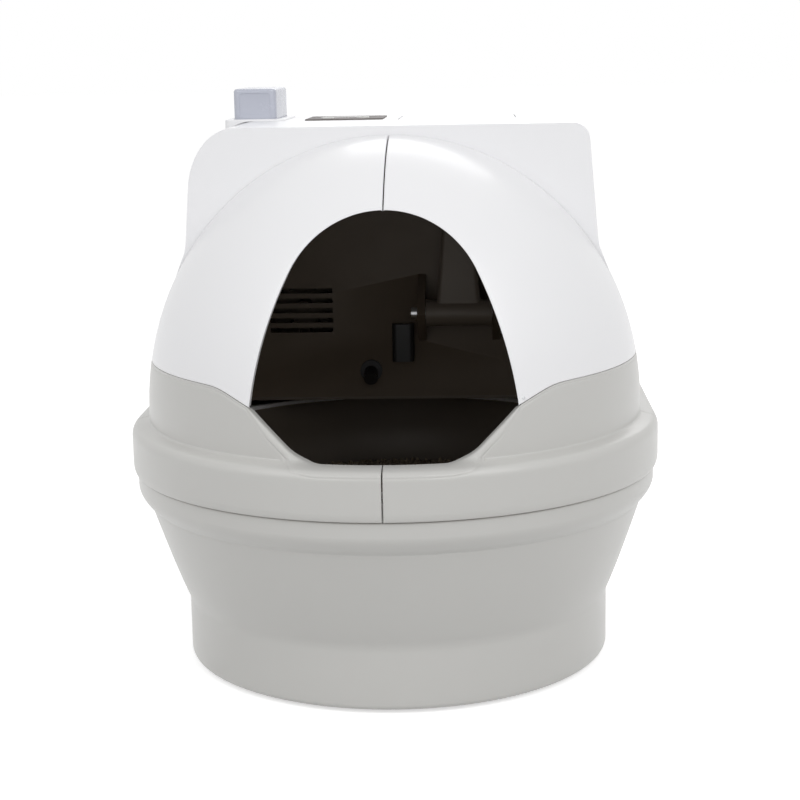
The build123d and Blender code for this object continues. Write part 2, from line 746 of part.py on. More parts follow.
with BuildPart() as rear_deck:
    add(slab((-FAR, FASCIA_Y, DECK_Z), (FAR, FAR, DECK_Z + DECK_WALL)))
    add(body_stack(housing_levels(HOUSING_TOP), HOUSING_WALL), mode=Mode.INTERSECT)
save(rear_deck.part, "rear_deck")

ear_x = (SCOOP_X - EAR_SPREAD / 2 - EAR_WALL, SCOOP_X + EAR_SPREAD / 2)
GRILLE_X = -100.0
GRILLE_Z = 300.0

with BuildPart() as inner_fascia:
    add(housing_inside.part)
    low = (-FAR, FASCIA_Y, DECK_Z + DECK_WALL)
    add(slab(low, (FAR, FASCIA_Y + FASCIA_WALL, FAR)), mode=Mode.INTERSECT)
    for x in ear_x:
        with BuildSketch(Plane.YZ.offset(x)):
            with BuildLine():
                Polyline(
                    (FASCIA_Y, SCOOP_Z + 34.0),
                    (SCOOP_Y, SCOOP_Z + 15.0),
                    (SCOOP_Y - 15.0, SCOOP_Z),
                    (SCOOP_Y, SCOOP_Z - 15.0),
                    (FASCIA_Y, SCOOP_Z - 34.0),
                    close=True,
                )
            make_face()
        extrude(amount=EAR_WALL)
    shaft_bore = rod((ear_x[0] - 1, SCOOP_Y, SCOOP_Z), (ear_x[1] + 60, SCOOP_Y, SCOOP_Z), SHAFT_RADIUS + RUNNING_GAP)
    add(shaft_bore, mode=Mode.SUBTRACT)
    mouth = slab(
        (SCOOP_X - MOUTH_WIDTH / 2, FASCIA_Y - 5, MOUTH_LOW), (SCOOP_X + MOUTH_WIDTH / 2, HOPPER_Y, MOUTH_HIGH)
    )
    add(mouth, mode=Mode.SUBTRACT)
    with BuildSketch(at_y(FASCIA_Y + 2 * FASCIA_WALL)):
        with Locations((GRILLE_X, GRILLE_Z)):
            with GridLocations(0, 10.0, 1, 5):
                Rectangle(64.0, 5.0)
    extrude(amount=4 * FASCIA_WALL, mode=Mode.SUBTRACT)
save(inner_fascia.part, "inner_fascia")

# Scoop: shaft, arm and rake, swung by its own gearmotor

with BuildPart() as arm_shaft:
    add(rod((ear_x[0] - 6.0, SCOOP_Y, SCOOP_Z), (ear_x[1] + EAR_WALL + 24.0, SCOOP_Y, SCOOP_Z), SHAFT_RADIUS))
save(arm_shaft.part, "arm_shaft")

arm_half = EAR_SPREAD / 2 - CLEAR

with BuildPart() as scoop_arm:
    add(rod((SCOOP_X - arm_half, SCOOP_Y, SCOOP_Z), (SCOOP_X + arm_half, SCOOP_Y, SCOOP_Z), 13.0))
    with BuildSketch(Plane((SCOOP_X, SCOOP_Y, SCOOP_Z + 8.0))):
        RectangleRounded(44.0, 16.0, 5.0)
    with BuildSketch(Plane((SCOOP_X, SCOOP_Y, SCOOP_Z + 96.0))):
        RectangleRounded(28.0, 11.0, 4.0)
    loft(ruled=True)
    axle = rod((SCOOP_X - arm_half, SCOOP_Y, SCOOP_Z), (SCOOP_X + arm_half, SCOOP_Y, SCOOP_Z), SHAFT_RADIUS)
    add(axle, mode=Mode.SUBTRACT)
save(scoop_arm.part, "scoop_arm")

RAKE_BAR = 12.0
TINE_WIDTH = 4.0
TINE_THICK = 6.0
rake_low = SCOOP_Z + 96.0

with BuildPart() as scoop_rake:
    bar_low = (SCOOP_X - RAKE_WIDTH / 2, SCOOP_Y - TINE_THICK, rake_low)
    add(slab(bar_low, (SCOOP_X + RAKE_WIDTH / 2, SCOOP_Y + TINE_THICK, rake_low + RAKE_BAR)))
    tine_pitch = (RAKE_WIDTH - TINE_WIDTH) / (TINES - 1)
    for tine in range(TINES):
        with BuildSketch(Plane.YZ.offset(SCOOP_X - RAKE_WIDTH / 2 + tine * tine_pitch)):
            with BuildLine():
                Polyline(
                    (SCOOP_Y - TINE_THICK, rake_low + RAKE_BAR / 2),
                    (SCOOP_Y + TINE_THICK, rake_low + RAKE_BAR / 2),
                    (SCOOP_Y - TINE_THICK / 2, SCOOP_Z + SCOOP_REACH),
                    (SCOOP_Y - TINE_THICK, SCOOP_Z + SCOOP_REACH),
                    close=True,
                )
            make_face()
        extrude(amount=TINE_WIDTH)
save(scoop_rake.part, "scoop_rake")

MOTOR_RADIUS = 21.0
MOTOR_LENGTH = 52.0
motor_x = ear_x[1] + EAR_WALL

with BuildPart() as arm_motor:
    add(rod((motor_x, SCOOP_Y, SCOOP_Z), (motor_x + MOTOR_LENGTH, SCOOP_Y, SCOOP_Z), MOTOR_RADIUS))
    fillet(arm_motor.edges().group_by(Axis.X)[-1], 4.0)
    foot_low = (motor_x + 6.0, SCOOP_Y, SCOOP_Z - 14.0)
    add(slab(foot_low, (motor_x + MOTOR_LENGTH - 8.0, FASCIA_Y, SCOOP_Z + 14.0)))
    socket = rod((motor_x, SCOOP_Y, SCOOP_Z), (motor_x + 26.0, SCOOP_Y, SCOOP_Z), SHAFT_RADIUS + RUNNING_GAP)
    add(socket, mode=Mode.SUBTRACT)
save(arm_motor.part, "arm_motor")

# Hopper: a square bin that funnels into a round throat, open at the mouth

with BuildPart() as hopper:
    for shrink, mode in ((0.0, Mode.ADD), (HOPPER_WALL, Mode.SUBTRACT)):
        with BuildSketch(Plane((SCOOP_X, HOPPER_Y, FUNNEL_TOP))):
            Rectangle(HOPPER_WIDTH - 2 * shrink, HOPPER_LENGTH - 2 * shrink)
        extrude(amount=TOP_WALL_LOW - GASKET_HEIGHT - FUNNEL_TOP, mode=mode)
        with BuildSketch(Plane((SCOOP_X, HOPPER_Y, THROAT_TOP + shrink))):
            Rectangle(2 * (THROAT_RADIUS - shrink), 2 * (THROAT_RADIUS - shrink))
        with BuildSketch(Plane((SCOOP_X, HOPPER_Y, FUNNEL_TOP))):
            Rectangle(HOPPER_WIDTH - 2 * shrink, HOPPER_LENGTH - 2 * shrink)
        loft(ruled=True, mode=mode)
        throat_low = THROAT_BOTTOM + (2 * HOPPER_WALL if shrink else 0)
        throat = rod((SCOOP_X, HOPPER_Y, throat_low), (SCOOP_X, HOPPER_Y, THROAT_TOP + shrink), THROAT_RADIUS - shrink)
        add(throat, mode=mode)
    low = (SCOOP_X - MOUTH_WIDTH / 2, FASCIA_Y, MOUTH_LOW)
    add(slab(low, (SCOOP_X + MOUTH_WIDTH / 2, HOPPER_Y, MOUTH_HIGH)), mode=Mode.SUBTRACT)
    shaft_hole = rod((SCOOP_X, HOPPER_Y, THROAT_BOTTOM), (SCOOP_X, HOPPER_Y, THROAT_TOP), 4.0 + RUNNING_GAP)
    add(shaft_hole, mode=Mode.SUBTRACT)
save(hopper.part, "hopper")

with BuildPart() as hopper_gasket:
    with BuildSketch(Plane((SCOOP_X, HOPPER_Y, TOP_WALL_LOW - GASKET_HEIGHT))):
        Rectangle(HOPPER_WIDTH, HOPPER_LENGTH)
        Rectangle(HOPPER_WIDTH - 2 * HOPPER_WALL, HOPPER_LENGTH - 2 * HOPPER_WALL, mode=Mode.SUBTRACT)
    extrude(amount=GASKET_HEIGHT)
save(hopper_gasket.part, "hopper_gasket")

# Macerator: impeller in the throat and its motor below

impeller_low = THROAT_BOTTOM + 2 * HOPPER_WALL + 1.0

with BuildPart() as impeller:
    with BuildSketch(Plane((SCOOP_X, HOPPER_Y, impeller_low))):
        Circle(IMPELLER_RADIUS)
    extrude(amount=3.0)
    with BuildSketch(Plane((SCOOP_X, HOPPER_Y, impeller_low))):
        with PolarLocations(IMPELLER_RADIUS / 2 + 3.0, IMPELLER_BLADES):
            Rectangle(IMPELLER_RADIUS - 8.0, 3.0)
        Circle(8.0)
    extrude(amount=14.0)
    add(rod((SCOOP_X, HOPPER_Y, THROAT_BOTTOM - 18.0), (SCOOP_X, HOPPER_Y, impeller_low), 4.0))
save(impeller.part, "impeller")

with BuildPart() as impeller_motor:
    motor_low = DECK_Z + DECK_WALL
    add(rod((SCOOP_X, HOPPER_Y, motor_low), (SCOOP_X, HOPPER_Y, THROAT_BOTTOM), 26.0))
    with BuildSketch(Plane((SCOOP_X, HOPPER_Y, motor_low))):
        Rectangle(70.0, 40.0)
    extrude(amount=4.0)
    shaft_hole = rod((SCOOP_X, HOPPER_Y, THROAT_BOTTOM - 24.0), (SCOOP_X, HOPPER_Y, THROAT_BOTTOM), 4.0 + RUNNING_GAP)
    add(shaft_hole, mode=Mode.SUBTRACT)
save(impeller_motor.part, "impeller_motor")

# Drain: pump in the low rear of the tub and its outlet through the back

DRAIN_Y = REAR_Y - PEDESTAL_INSET - 60.0
DRAIN_X = spout_spots["drain"]

with BuildPart() as drain_pump:
    add(rod((DRAIN_X, DRAIN_Y, tub_floor), (DRAIN_X, DRAIN_Y, tub_floor + 36.0), 34.0))
    fillet(drain_pump.edges().group_by(Axis.Z)[-1], 6.0)
    add(rod((DRAIN_X, DRAIN_Y, tub_floor + 30.0), (DRAIN_X, DRAIN_Y, tub_floor + 96.0), 24.0))
    add(rod((DRAIN_X, DRAIN_Y - 52.0, tub_floor + 16.0), (DRAIN_X, DRAIN_Y, tub_floor + 16.0), 11.0))
save(drain_pump.part, "drain_pump")


def spout(name, length, bore):
    """A spigot outside the back wall, on a collar through it with a flange inside."""
    x = spout_spots[name]
    radius = SPOUT_RADIUS[name]
    inner = rear_wall_y - HOUSING_WALL - 3.0
    seat = rear_wall_y + COLLAR_STAND
    with BuildPart(mode=Mode.PRIVATE) as piece:
        add(rod((x, inner - 8.0, SPOUT_Z), (x, seat, SPOUT_Z), radius + SPOUT_COLLAR))
        add(rod((x, inner - 8.0, SPOUT_Z), (x, inner - 2.0, SPOUT_Z), radius + 3 * SPOUT_COLLAR))
        add(rod((x, inner - 8.0, SPOUT_Z), (x, seat + length, SPOUT_Z), radius))
        add(rod((x, inner - 10.0, SPOUT_Z), (x, REAR_Y + 60.0, SPOUT_Z), bore), mode=Mode.SUBTRACT)
    return piece.part


DRAIN_BORE = 10.0
INLET_BORE = 8.0
POWER_BORE = 4.5
DRAIN_LENGTH = 13.0
INLET_LENGTH = 12.0
POWER_LENGTH = 6.0

with BuildPart() as drain_outlet:
    add(spout("drain", DRAIN_LENGTH, DRAIN_BORE))
save(drain_outlet.part, "drain_outlet")

with BuildPart() as water_inlet_valve:
    add(spout("inlet", INLET_LENGTH, INLET_BORE))
    valve_back = rear_wall_y - HOUSING_WALL - 11.0
    x = spout_spots["inlet"]
    add(slab((x - 22.0, valve_back - 46.0, SPOUT_Z - 20.0), (x + 22.0, valve_back, SPOUT_Z + 20.0)))
save(water_inlet_valve.part, "water_inlet_valve")

with BuildPart() as power_gland:
    add(spout("power", POWER_LENGTH, POWER_BORE))
save(power_gland.part, "power_gland")

# Dryer: scroll housing behind the grille, fan and motor

BLOWER_Y = (FASCIA_Y + FASCIA_WALL, FASCIA_Y + FASCIA_WALL + 56.0)
FAN_RADIUS = 30.0

with BuildPart() as blower_housing:
    add(rod((GRILLE_X, BLOWER_Y[0], GRILLE_Z), (GRILLE_X, BLOWER_Y[1], GRILLE_Z), 44.0))
    add(slab((GRILLE_X - 44.0, BLOWER_Y[0], DECK_Z + DECK_WALL), (GRILLE_X, BLOWER_Y[1], GRILLE_Z)))
    add(rod((GRILLE_X, BLOWER_Y[0] - 1, GRILLE_Z), (GRILLE_X, BLOWER_Y[1] - 4.0, GRILLE_Z), 38.0), mode=Mode.SUBTRACT)
    add(rod((GRILLE_X, BLOWER_Y[0], GRILLE_Z), (GRILLE_X, BLOWER_Y[1], GRILLE_Z), 3.0 + RUNNING_GAP), mode=Mode.SUBTRACT)
save(blower_housing.part, "blower_housing")

with BuildPart() as blower_fan:
    with BuildSketch(at_y(BLOWER_Y[1] - 8.0)):
        with Locations((GRILLE_X, GRILLE_Z)):
            Circle(FAN_RADIUS)
    extrude(amount=3.0)
    with BuildSketch(at_y(BLOWER_Y[1] - 8.0)):
        with Locations((GRILLE_X, GRILLE_Z)):
            with PolarLocations(FAN_RADIUS - 5.0, 14):
                Rectangle(8.0, 2.0)
            Circle(7.0)
    extrude(amount=30.0)
    add(rod((GRILLE_X, BLOWER_Y[1] - 8.0, GRILLE_Z), (GRILLE_X, BLOWER_Y[1] + 16.0, GRILLE_Z), 3.0))
save(blower_fan.part, "blower_fan")

with BuildPart() as blower_motor:
    add(rod((GRILLE_X, BLOWER_Y[1], GRILLE_Z), (GRILLE_X, BLOWER_Y[1] + 36.0, GRILLE_Z), 20.0))
    add(rod((GRILLE_X, BLOWER_Y[1], GRILLE_Z), (GRILLE_X, BLOWER_Y[1] + 20.0, GRILLE_Z), 3.0 + RUNNING_GAP), mode=Mode.SUBTRACT)
save(blower_motor.part, "blower_motor")

# Cave fittings: spray nozzle and water sensor

with BuildPart() as spray_nozzle:
    add(rod((-30.0, FASCIA_Y, DECK_Z + 30.0), (-30.0, FASCIA_Y - 16.0, DECK_Z + 24.0), 7.0))
    add(rod((-30.0, FASCIA_Y, DECK_Z + 30.0), (-30.0, FASCIA_Y - 5.0, DECK_Z + 30.0), 11.0))
    add(slab((-60.0, FASCIA_Y, 0), (0, FAR, FAR)), mode=Mode.SUBTRACT)
save(spray_nozzle.part, "spray_nozzle")

with BuildPart() as water_sensor:
    add(slab((-8.0, FASCIA_Y - 10.0, DECK_Z + 40.0), (14.0, FASCIA_Y, DECK_Z + 78.0)))
    fillet(water_sensor.edges().filter_by(Axis.Z).group_by(Axis.Y)[0], 5.0)
save(water_sensor.part, "water_sensor")

# Cartridge, its cap, the dock, valve and dosing pump

with BuildPart() as cartridge_shell:
    with BuildSketch(Plane((CARTRIDGE_X, CARTRIDGE_Y, CARTRIDGE_BOTTOM))):
        RectangleRounded(CARTRIDGE_WIDTH, CARTRIDGE_LENGTH, 6.0)
    extrude(amount=CARTRIDGE_TOP - CARTRIDGE_BOTTOM)
    fillet(cartridge_shell.edges().group_by(Axis.Z)[-1], 4.0)
save(cartridge_shell.part, "cartridge_shell")

CAP_RADIUS = 11.0
CAP_HEIGHT = 12.0

with BuildPart() as cartridge_cap:
    cap_foot = (CARTRIDGE_X, CARTRIDGE_Y, CARTRIDGE_BOTTOM - CAP_HEIGHT)
    add(rod(cap_foot, (CARTRIDGE_X, CARTRIDGE_Y, CARTRIDGE_BOTTOM), CAP_RADIUS))
    add(rod(cap_foot, (CARTRIDGE_X, CARTRIDGE_Y, CARTRIDGE_BOTTOM - 3.0), CAP_RADIUS - 5.0), mode=Mode.SUBTRACT)
save(cartridge_cap.part, "cartridge_cap")

dock_low = CARTRIDGE_BOTTOM - CAP_HEIGHT - HOOD_GAP - DOCK_WALL

with BuildPart() as cartridge_dock:
    # The collar's underside follows the housing's round shoulder
    with BuildSketch(Plane((CARTRIDGE_X, CARTRIDGE_Y, HOUSING_TOP - DOCK_COLLAR))):
        RectangleRounded(dock_hole[0] + 2 * DOCK_FLANGE, dock_hole[1] + 2 * DOCK_FLANGE, 6.0)
    extrude(amount=DOCK_COLLAR + 2.0)
    fillet(cartridge_dock.edges().group_by(Axis.Z)[-1], 1.5)
    add(housing_outside.part, mode=Mode.SUBTRACT)
    with BuildSketch(Plane((CARTRIDGE_X, CARTRIDGE_Y, dock_low))):
        Rectangle(*dock_hole)
    extrude(amount=HOUSING_TOP - dock_low)
    with BuildSketch(Plane((CARTRIDGE_X, CARTRIDGE_Y, dock_low + DOCK_WALL))):
        RectangleRounded(CARTRIDGE_WIDTH + 2 * DOCK_GAP, CARTRIDGE_LENGTH + 2 * DOCK_GAP, 5.0)
    extrude(amount=FAR, mode=Mode.SUBTRACT)
    add(rod((CARTRIDGE_X, CARTRIDGE_Y, dock_low), (CARTRIDGE_X, CARTRIDGE_Y, FAR), 4.0), mode=Mode.SUBTRACT)
save(cartridge_dock.part, "cartridge_dock")

with BuildPart() as dock_valve:
    add(rod((CARTRIDGE_X, CARTRIDGE_Y, dock_low - 20.0), (CARTRIDGE_X, CARTRIDGE_Y, dock_low + 10.0), 4.0))
    add(rod((CARTRIDGE_X, CARTRIDGE_Y, dock_low - 20.0), (CARTRIDGE_X, CARTRIDGE_Y, dock_low), 9.0))
save(dock_valve.part, "dock_valve")

with BuildPart() as dosing_pump:
    pump_low = (CARTRIDGE_X - 19.0, CARTRIDGE_Y - 26.0, dock_low - 60.0)
    add(slab(pump_low, (CARTRIDGE_X + 19.0, CARTRIDGE_Y + 26.0, dock_low - 20.0)))
    fillet(dosing_pump.edges().filter_by(Axis.Z), 6.0)
save(dosing_pump.part, "dosing_pump")

# Control strip: panel, window, two buttons and the board below

panel_top = HOUSING_TOP + PANEL_STAND
WINDOW = (38.0, 20.0)
WINDOW_Y = PANEL_Y + 18.0
BUTTON_Y = PANEL_Y - 22.0
button_x = {"start_button": PANEL_X - 18.0, "lock_button": PANEL_X + 18.0}

with BuildPart() as control_panel:
    with BuildSketch(Plane((PANEL_X, PANEL_Y, panel_top - PANEL_THICK))):
        RectangleRounded(PANEL_WIDTH - 0.6, PANEL_LENGTH - 0.6, 5.0)
    extrude(amount=PANEL_THICK)
    with BuildSketch(Plane((PANEL_X, WINDOW_Y, panel_top))):
        Rectangle(*WINDOW)
    extrude(amount=-1.2, mode=Mode.SUBTRACT)
    for x in button_x.values():
        add(rod((x, BUTTON_Y, 0), (x, BUTTON_Y, FAR), BUTTON_RADIUS + CLEAR), mode=Mode.SUBTRACT)
save(control_panel.part, "control_panel")

with BuildPart() as display_window:
    with BuildSketch(Plane((PANEL_X, WINDOW_Y, panel_top - 1.2))):
        Rectangle(*WINDOW)
    extrude(amount=1.2)
save(display_window.part, "display_window")

BOARD_DROP = 9.0
board_top = TOP_WALL_LOW - BOARD_DROP

for name, x in button_x.items():
    with BuildPart() as button:
        stem_low = board_top + BUTTON_TRAVEL + HOOD_GAP
        add(rod((x, BUTTON_Y, stem_low), (x, BUTTON_Y, panel_top + 1.4), BUTTON_RADIUS))
        fillet(button.edges().group_by(Axis.Z)[-1], 1.0)
    save(button.part, name)

with BuildPart() as control_board:
    with BuildSketch(Plane((PANEL_X, PANEL_Y, board_top - 1.6))):
        Rectangle(PANEL_WIDTH - 18.0, PANEL_LENGTH - 18.0)
    extrude(amount=1.6)
    with BuildSketch(Plane((PANEL_X, PANEL_Y, board_top))):
        with GridLocations(PANEL_WIDTH - 26.0, PANEL_LENGTH - 26.0, 2, 2):
            Circle(3.0)
    extrude(amount=panel_top - PANEL_THICK - board_top)
save(control_board.part, "control_board")

# Electrics on the rear deck

with BuildPart() as main_board:
    with BuildSketch(Plane((-30.0, REAR_Y - 130.0, DECK_Z + DECK_WALL))):
        with GridLocations(56.0, 66.0, 2, 2):
            Circle(4.0)
    extrude(amount=9.0)
    with BuildSketch(Plane((-30.0, REAR_Y - 130.0, DECK_Z + DECK_WALL + 8.0))):
        Rectangle(70.0, 80.0)
    extrude(amount=2.0)
    with BuildSketch(Plane((-30.0, REAR_Y - 130.0, DECK_Z + DECK_WALL + 10.0))):
        Rectangle(40.0, 24.0)
    extrude(amount=16.0)
save(main_board.part, "main_board")

with BuildPart() as power_supply:
    low = (110.0, REAR_Y - 180.0, DECK_Z + DECK_WALL)
    add(slab(low, (170.0, REAR_Y - 90.0, DECK_Z + DECK_WALL + 42.0)))
    fillet(power_supply.edges().filter_by(Axis.Z), 4.0)
save(power_supply.part, "power_supply")
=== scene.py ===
"""Self-cleaning litter box: smooth shells, fittings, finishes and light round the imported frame."""

from __future__ import annotations

import json
import logging
import math
from dataclasses import dataclass, field
from enum import Enum
from typing import Callable, Sequence

import bmesh
import bpy
import numpy as np
from mathutils import Matrix, Vector

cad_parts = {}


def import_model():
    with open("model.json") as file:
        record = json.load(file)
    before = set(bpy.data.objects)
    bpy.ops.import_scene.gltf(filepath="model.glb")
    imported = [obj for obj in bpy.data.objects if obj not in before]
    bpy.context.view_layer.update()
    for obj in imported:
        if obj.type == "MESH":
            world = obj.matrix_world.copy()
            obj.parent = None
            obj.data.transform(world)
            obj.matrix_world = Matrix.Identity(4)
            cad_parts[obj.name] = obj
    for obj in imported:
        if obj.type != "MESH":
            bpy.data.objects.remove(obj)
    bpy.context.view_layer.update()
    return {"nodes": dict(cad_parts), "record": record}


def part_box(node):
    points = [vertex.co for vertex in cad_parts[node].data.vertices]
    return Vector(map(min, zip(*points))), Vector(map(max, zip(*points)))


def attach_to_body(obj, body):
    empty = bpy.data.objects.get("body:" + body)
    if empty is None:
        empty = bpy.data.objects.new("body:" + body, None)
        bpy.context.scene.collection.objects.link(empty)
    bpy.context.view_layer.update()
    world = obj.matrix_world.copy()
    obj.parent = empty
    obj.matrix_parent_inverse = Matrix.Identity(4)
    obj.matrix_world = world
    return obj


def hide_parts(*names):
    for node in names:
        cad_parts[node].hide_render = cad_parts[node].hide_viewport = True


LOG = logging.getLogger("litter_box")
MM = 0.001
Array = np.ndarray
Pair = tuple[float, float]


class Side(Enum):
    """The two halves of the hood, by the sign of x."""

    LEFT = -1
    RIGHT = 1


# Shader and node maths


class Wire:
    """A node socket, or a number, that can be added, multiplied and compared in Python."""

    def __init__(self, tree: bpy.types.NodeTree, value: object) -> None:
        """Hold one socket or number of a tree."""
        self.tree = tree
        self.value = value

    def _math(self, operation: str, *others: object, swap: bool = False) -> "Wire":
        """Add one Math node.

        Args:
            operation: Name of the Math operation.
            others: Further operands, as wires or numbers.
            swap: Whether the first two operands change places.

        Returns:
            The node's result.
        """
        node = self.tree.nodes.new("ShaderNodeMath")
        node.operation = operation
        operands = [self.value] + [o.value if isinstance(o, Wire) else o for o in others]
        if swap:
            operands[0], operands[1] = operands[1], operands[0]
        for socket, operand in zip(node.inputs, operands):
            if isinstance(operand, bpy.types.NodeSocket):
                self.tree.links.new(operand, socket)
            else:
                socket.default_value = float(operand)
        return Wire(self.tree, node.outputs[0])

    def __add__(self, other: object) -> "Wire":
        """Sum."""
        return self._math("ADD", other)

    __radd__ = __add__

    def __sub__(self, other: object) -> "Wire":
        """Difference."""
        return self._math("SUBTRACT", other)

    def __rsub__(self, other: object) -> "Wire":
        """Difference from a number."""
        return self._math("SUBTRACT", other, swap=True)

    def __mul__(self, other: object) -> "Wire":
        """Product."""
        return self._math("MULTIPLY", other)

    __rmul__ = __mul__

    def __truediv__(self, other: object) -> "Wire":
        """Quotient."""
        return self._math("DIVIDE", other)

    def clamp(self, low: object, high: object) -> "Wire":
        """Keep the value between two limits."""
        return self._math("MAXIMUM", low)._math("MINIMUM", high)

    def sin(self) -> "Wire":
        """Sine of an angle in radians."""
        return self._math("SINE")

    def cos(self) -> "Wire":
        """Cosine of an angle in radians."""
        return self._math("COSINE")


class Graph:
    """Adds nodes to one tree."""

    def __init__(self, tree: bpy.types.NodeTree) -> None:
        """Start from an empty tree."""
        self.tree = tree
        tree.nodes.clear()

    def number(self, value: object) -> Wire:
        """Wrap a socket or number as a wire."""
        return Wire(self.tree, value)

    def node(
        self, kind: str, settings: dict[str, object] | None = None, **sockets: object
    ) -> bpy.types.Node:
        """Add a node.

        Args:
            kind: The node's type.
            settings: Attributes that are set before the sockets, or ramp stops under "stops".
            sockets: Values or links, by the socket's name with _ for a space.

        Returns:
            The new node.
        """
        made = self.tree.nodes.new(kind)
        for name, value in (settings or {}).items():
            if name == "stops":
                ramp = made.color_ramp
                for place, (position, colour) in enumerate(value):
                    stop = ramp.elements[place] if place < 2 else ramp.elements.new(position)
                    stop.position, stop.color = position, colour
            else:
                setattr(made, name, value)
        for name, value in sockets.items():
            self.feed(made, name.replace("_", " "), value)
        return made

    def feed(self, made: bpy.types.Node, name: str, value: object) -> None:
        """Give one input socket of a node a value or a link."""
        value = value.value if isinstance(value, Wire) else value
        wanted = [s for s in made.inputs if s.name == name and s.enabled]
        if isinstance(value, list):
            for source in value:
                self.tree.links.new(source, wanted[0])
        elif isinstance(value, bpy.types.NodeSocket):
            self.tree.links.new(value, wanted[0])
        else:
            wanted[0].default_value = value


# Finishes


GRAIN_DEPTH = 0.0004
GRAIN_SHINE, SMEAR_SHINE = 0.04, 0.1
COAT_ROUGHNESS = 0.12


@dataclass(frozen=True)
class Finish:
    """A moulded, rubber or metal finish with its fine grain and slight unevenness."""

    name: str
    colour: tuple[float, float, float]
    roughness: float = 0.35
    metallic: float = 0.0
    coat: float = 0.0
    grain: float = 0.02
    grain_scale: float = 900.0
    cloud: float = 0.02
    brushed: bool = False
    shine: float = 0.5

    def material(self) -> bpy.types.Material:
        """Build the material once and return it."""
        known = bpy.data.materials.get(self.name)
        if known:
            return known
        made = bpy.data.materials.new(self.name)
        made.use_nodes = True
        graph = Graph(made.node_tree)
        place = graph.node("ShaderNodeTexCoord").outputs["Object"]
        if self.brushed:
            place = graph.node("ShaderNodeMapping", Vector=place, Scale=(1.0, 18.0, 1.0)).outputs[0]
        fine = graph.node("ShaderNodeTexNoise", Vector=place, Scale=self.grain_scale, Detail=3.0)
        broad = graph.node("ShaderNodeTexNoise", Vector=place, Scale=9.0, Detail=4.0, Roughness=0.6)
        smears = graph.node("ShaderNodeTexNoise", Vector=place, Scale=38.0, Detail=5.0, Distortion=0.6)
        shade = graph.number(broad.outputs["Fac"]) * self.cloud + (1.0 - self.cloud / 2)
        tint = graph.node("ShaderNodeCombineXYZ", X=shade, Y=shade, Z=shade)
        colour = graph.node("ShaderNodeMix", {"data_type": "RGBA", "blend_type": "MULTIPLY"})
        colour.inputs["Factor"].default_value = 1.0
        colour.inputs[6].default_value = (*self.colour, 1.0)
        graph.tree.links.new(tint.outputs[0], colour.inputs[7])
        rough = graph.number(smears.outputs["Fac"]) * SMEAR_SHINE
        rough = rough + graph.number(fine.outputs["Fac"]) * GRAIN_SHINE
        rough = (rough + (self.roughness - (SMEAR_SHINE + GRAIN_SHINE) / 2)).clamp(0.03, 1.0)
        bump = graph.node(
            "ShaderNodeBump", Strength=self.grain, Distance=GRAIN_DEPTH, Height=fine.outputs["Fac"]
        )
        shader = graph.node(
            "ShaderNodeBsdfPrincipled",
            Base_Color=colour.outputs[2],
            Roughness=rough,
            Metallic=self.metallic,
            Normal=bump.outputs[0],
        )
        shader.inputs["Coat Weight"].default_value = self.coat
        shader.inputs["Specular IOR Level"].default_value = self.shine
        shader.inputs["Coat Roughness"].default_value = COAT_ROUGHNESS
        output = graph.node("ShaderNodeOutputMaterial")
        graph.tree.links.new(shader.outputs[0], output.inputs["Surface"])
        return made


WHITE = Finish("white_moulding", (0.88, 0.88, 0.895), 0.32, coat=0.15, cloud=0.012)
GREY = Finish("grey_moulding", (0.575, 0.57, 0.55), 0.36, coat=0.1, cloud=0.03)
# Dark brown painted shade on the hood's inside faces.
HOOD_INSIDE_SHADE = Finish("inner_lining", (0.22, 0.165, 0.11), 0.6, grain=0.05)
# Dark brown painted shade on the inner fascia and the other parts in the cave under the hood.
CAVE_SHADE = Finish("cave_moulding", (0.13, 0.10, 0.072), 0.55, grain=0.06)
BOWL = Finish("bowl_moulding", (0.15, 0.125, 0.10), 0.5, grain=0.04, cloud=0.06)
BLACK = Finish("black_moulding", (0.014, 0.014, 0.015), 0.5, grain=0.08)
RUBBER = Finish("foot_rubber", (0.02, 0.02, 0.021), 0.82, grain=0.25, grain_scale=600.0)
STEEL = Finish("brushed_steel", (0.56, 0.57, 0.58), 0.3, metallic=1.0, brushed=True, cloud=0.08)
SMOKED = Finish("smoked_window", (0.05, 0.048, 0.05), 0.08, coat=0.6, grain=0.0, cloud=0.1)
STRIP = Finish("control_strip", (0.16, 0.145, 0.14), 0.5, grain=0.0, cloud=0.05, shine=0.08)
BOTTLE = Finish("cartridge_moulding", (0.50, 0.52, 0.60), 0.26, coat=0.3, cloud=0.10)
GRANULE = Finish("granule_clay", (0.30, 0.24, 0.17), 0.8, grain=0.5, grain_scale=1500.0, cloud=0.3)
BOARD = Finish("circuit_lacquer", (0.02, 0.12, 0.05), 0.35, coat=0.3, cloud=0.2)
KEY = Finish("key_moulding", (0.62, 0.62, 0.60), 0.3, coat=0.2)

SLOT_FINISH = {
    "grey_shell": GREY,
    "white_shell": WHITE,
    "grey_bowl": BOWL,
    # The cave's inner parts take the dark brown painted shade.
    "dark_inner": CAVE_SHADE,
    "black_plastic": BLACK,
    "rubber": RUBBER,
    "steel": STEEL,
    "window": SMOKED,
    "strip": STRIP,
    "cartridge": BOTTLE,
    "granules": GRANULE,
    "board": BOARD,
    "button": KEY,
}


# Mesh drafts


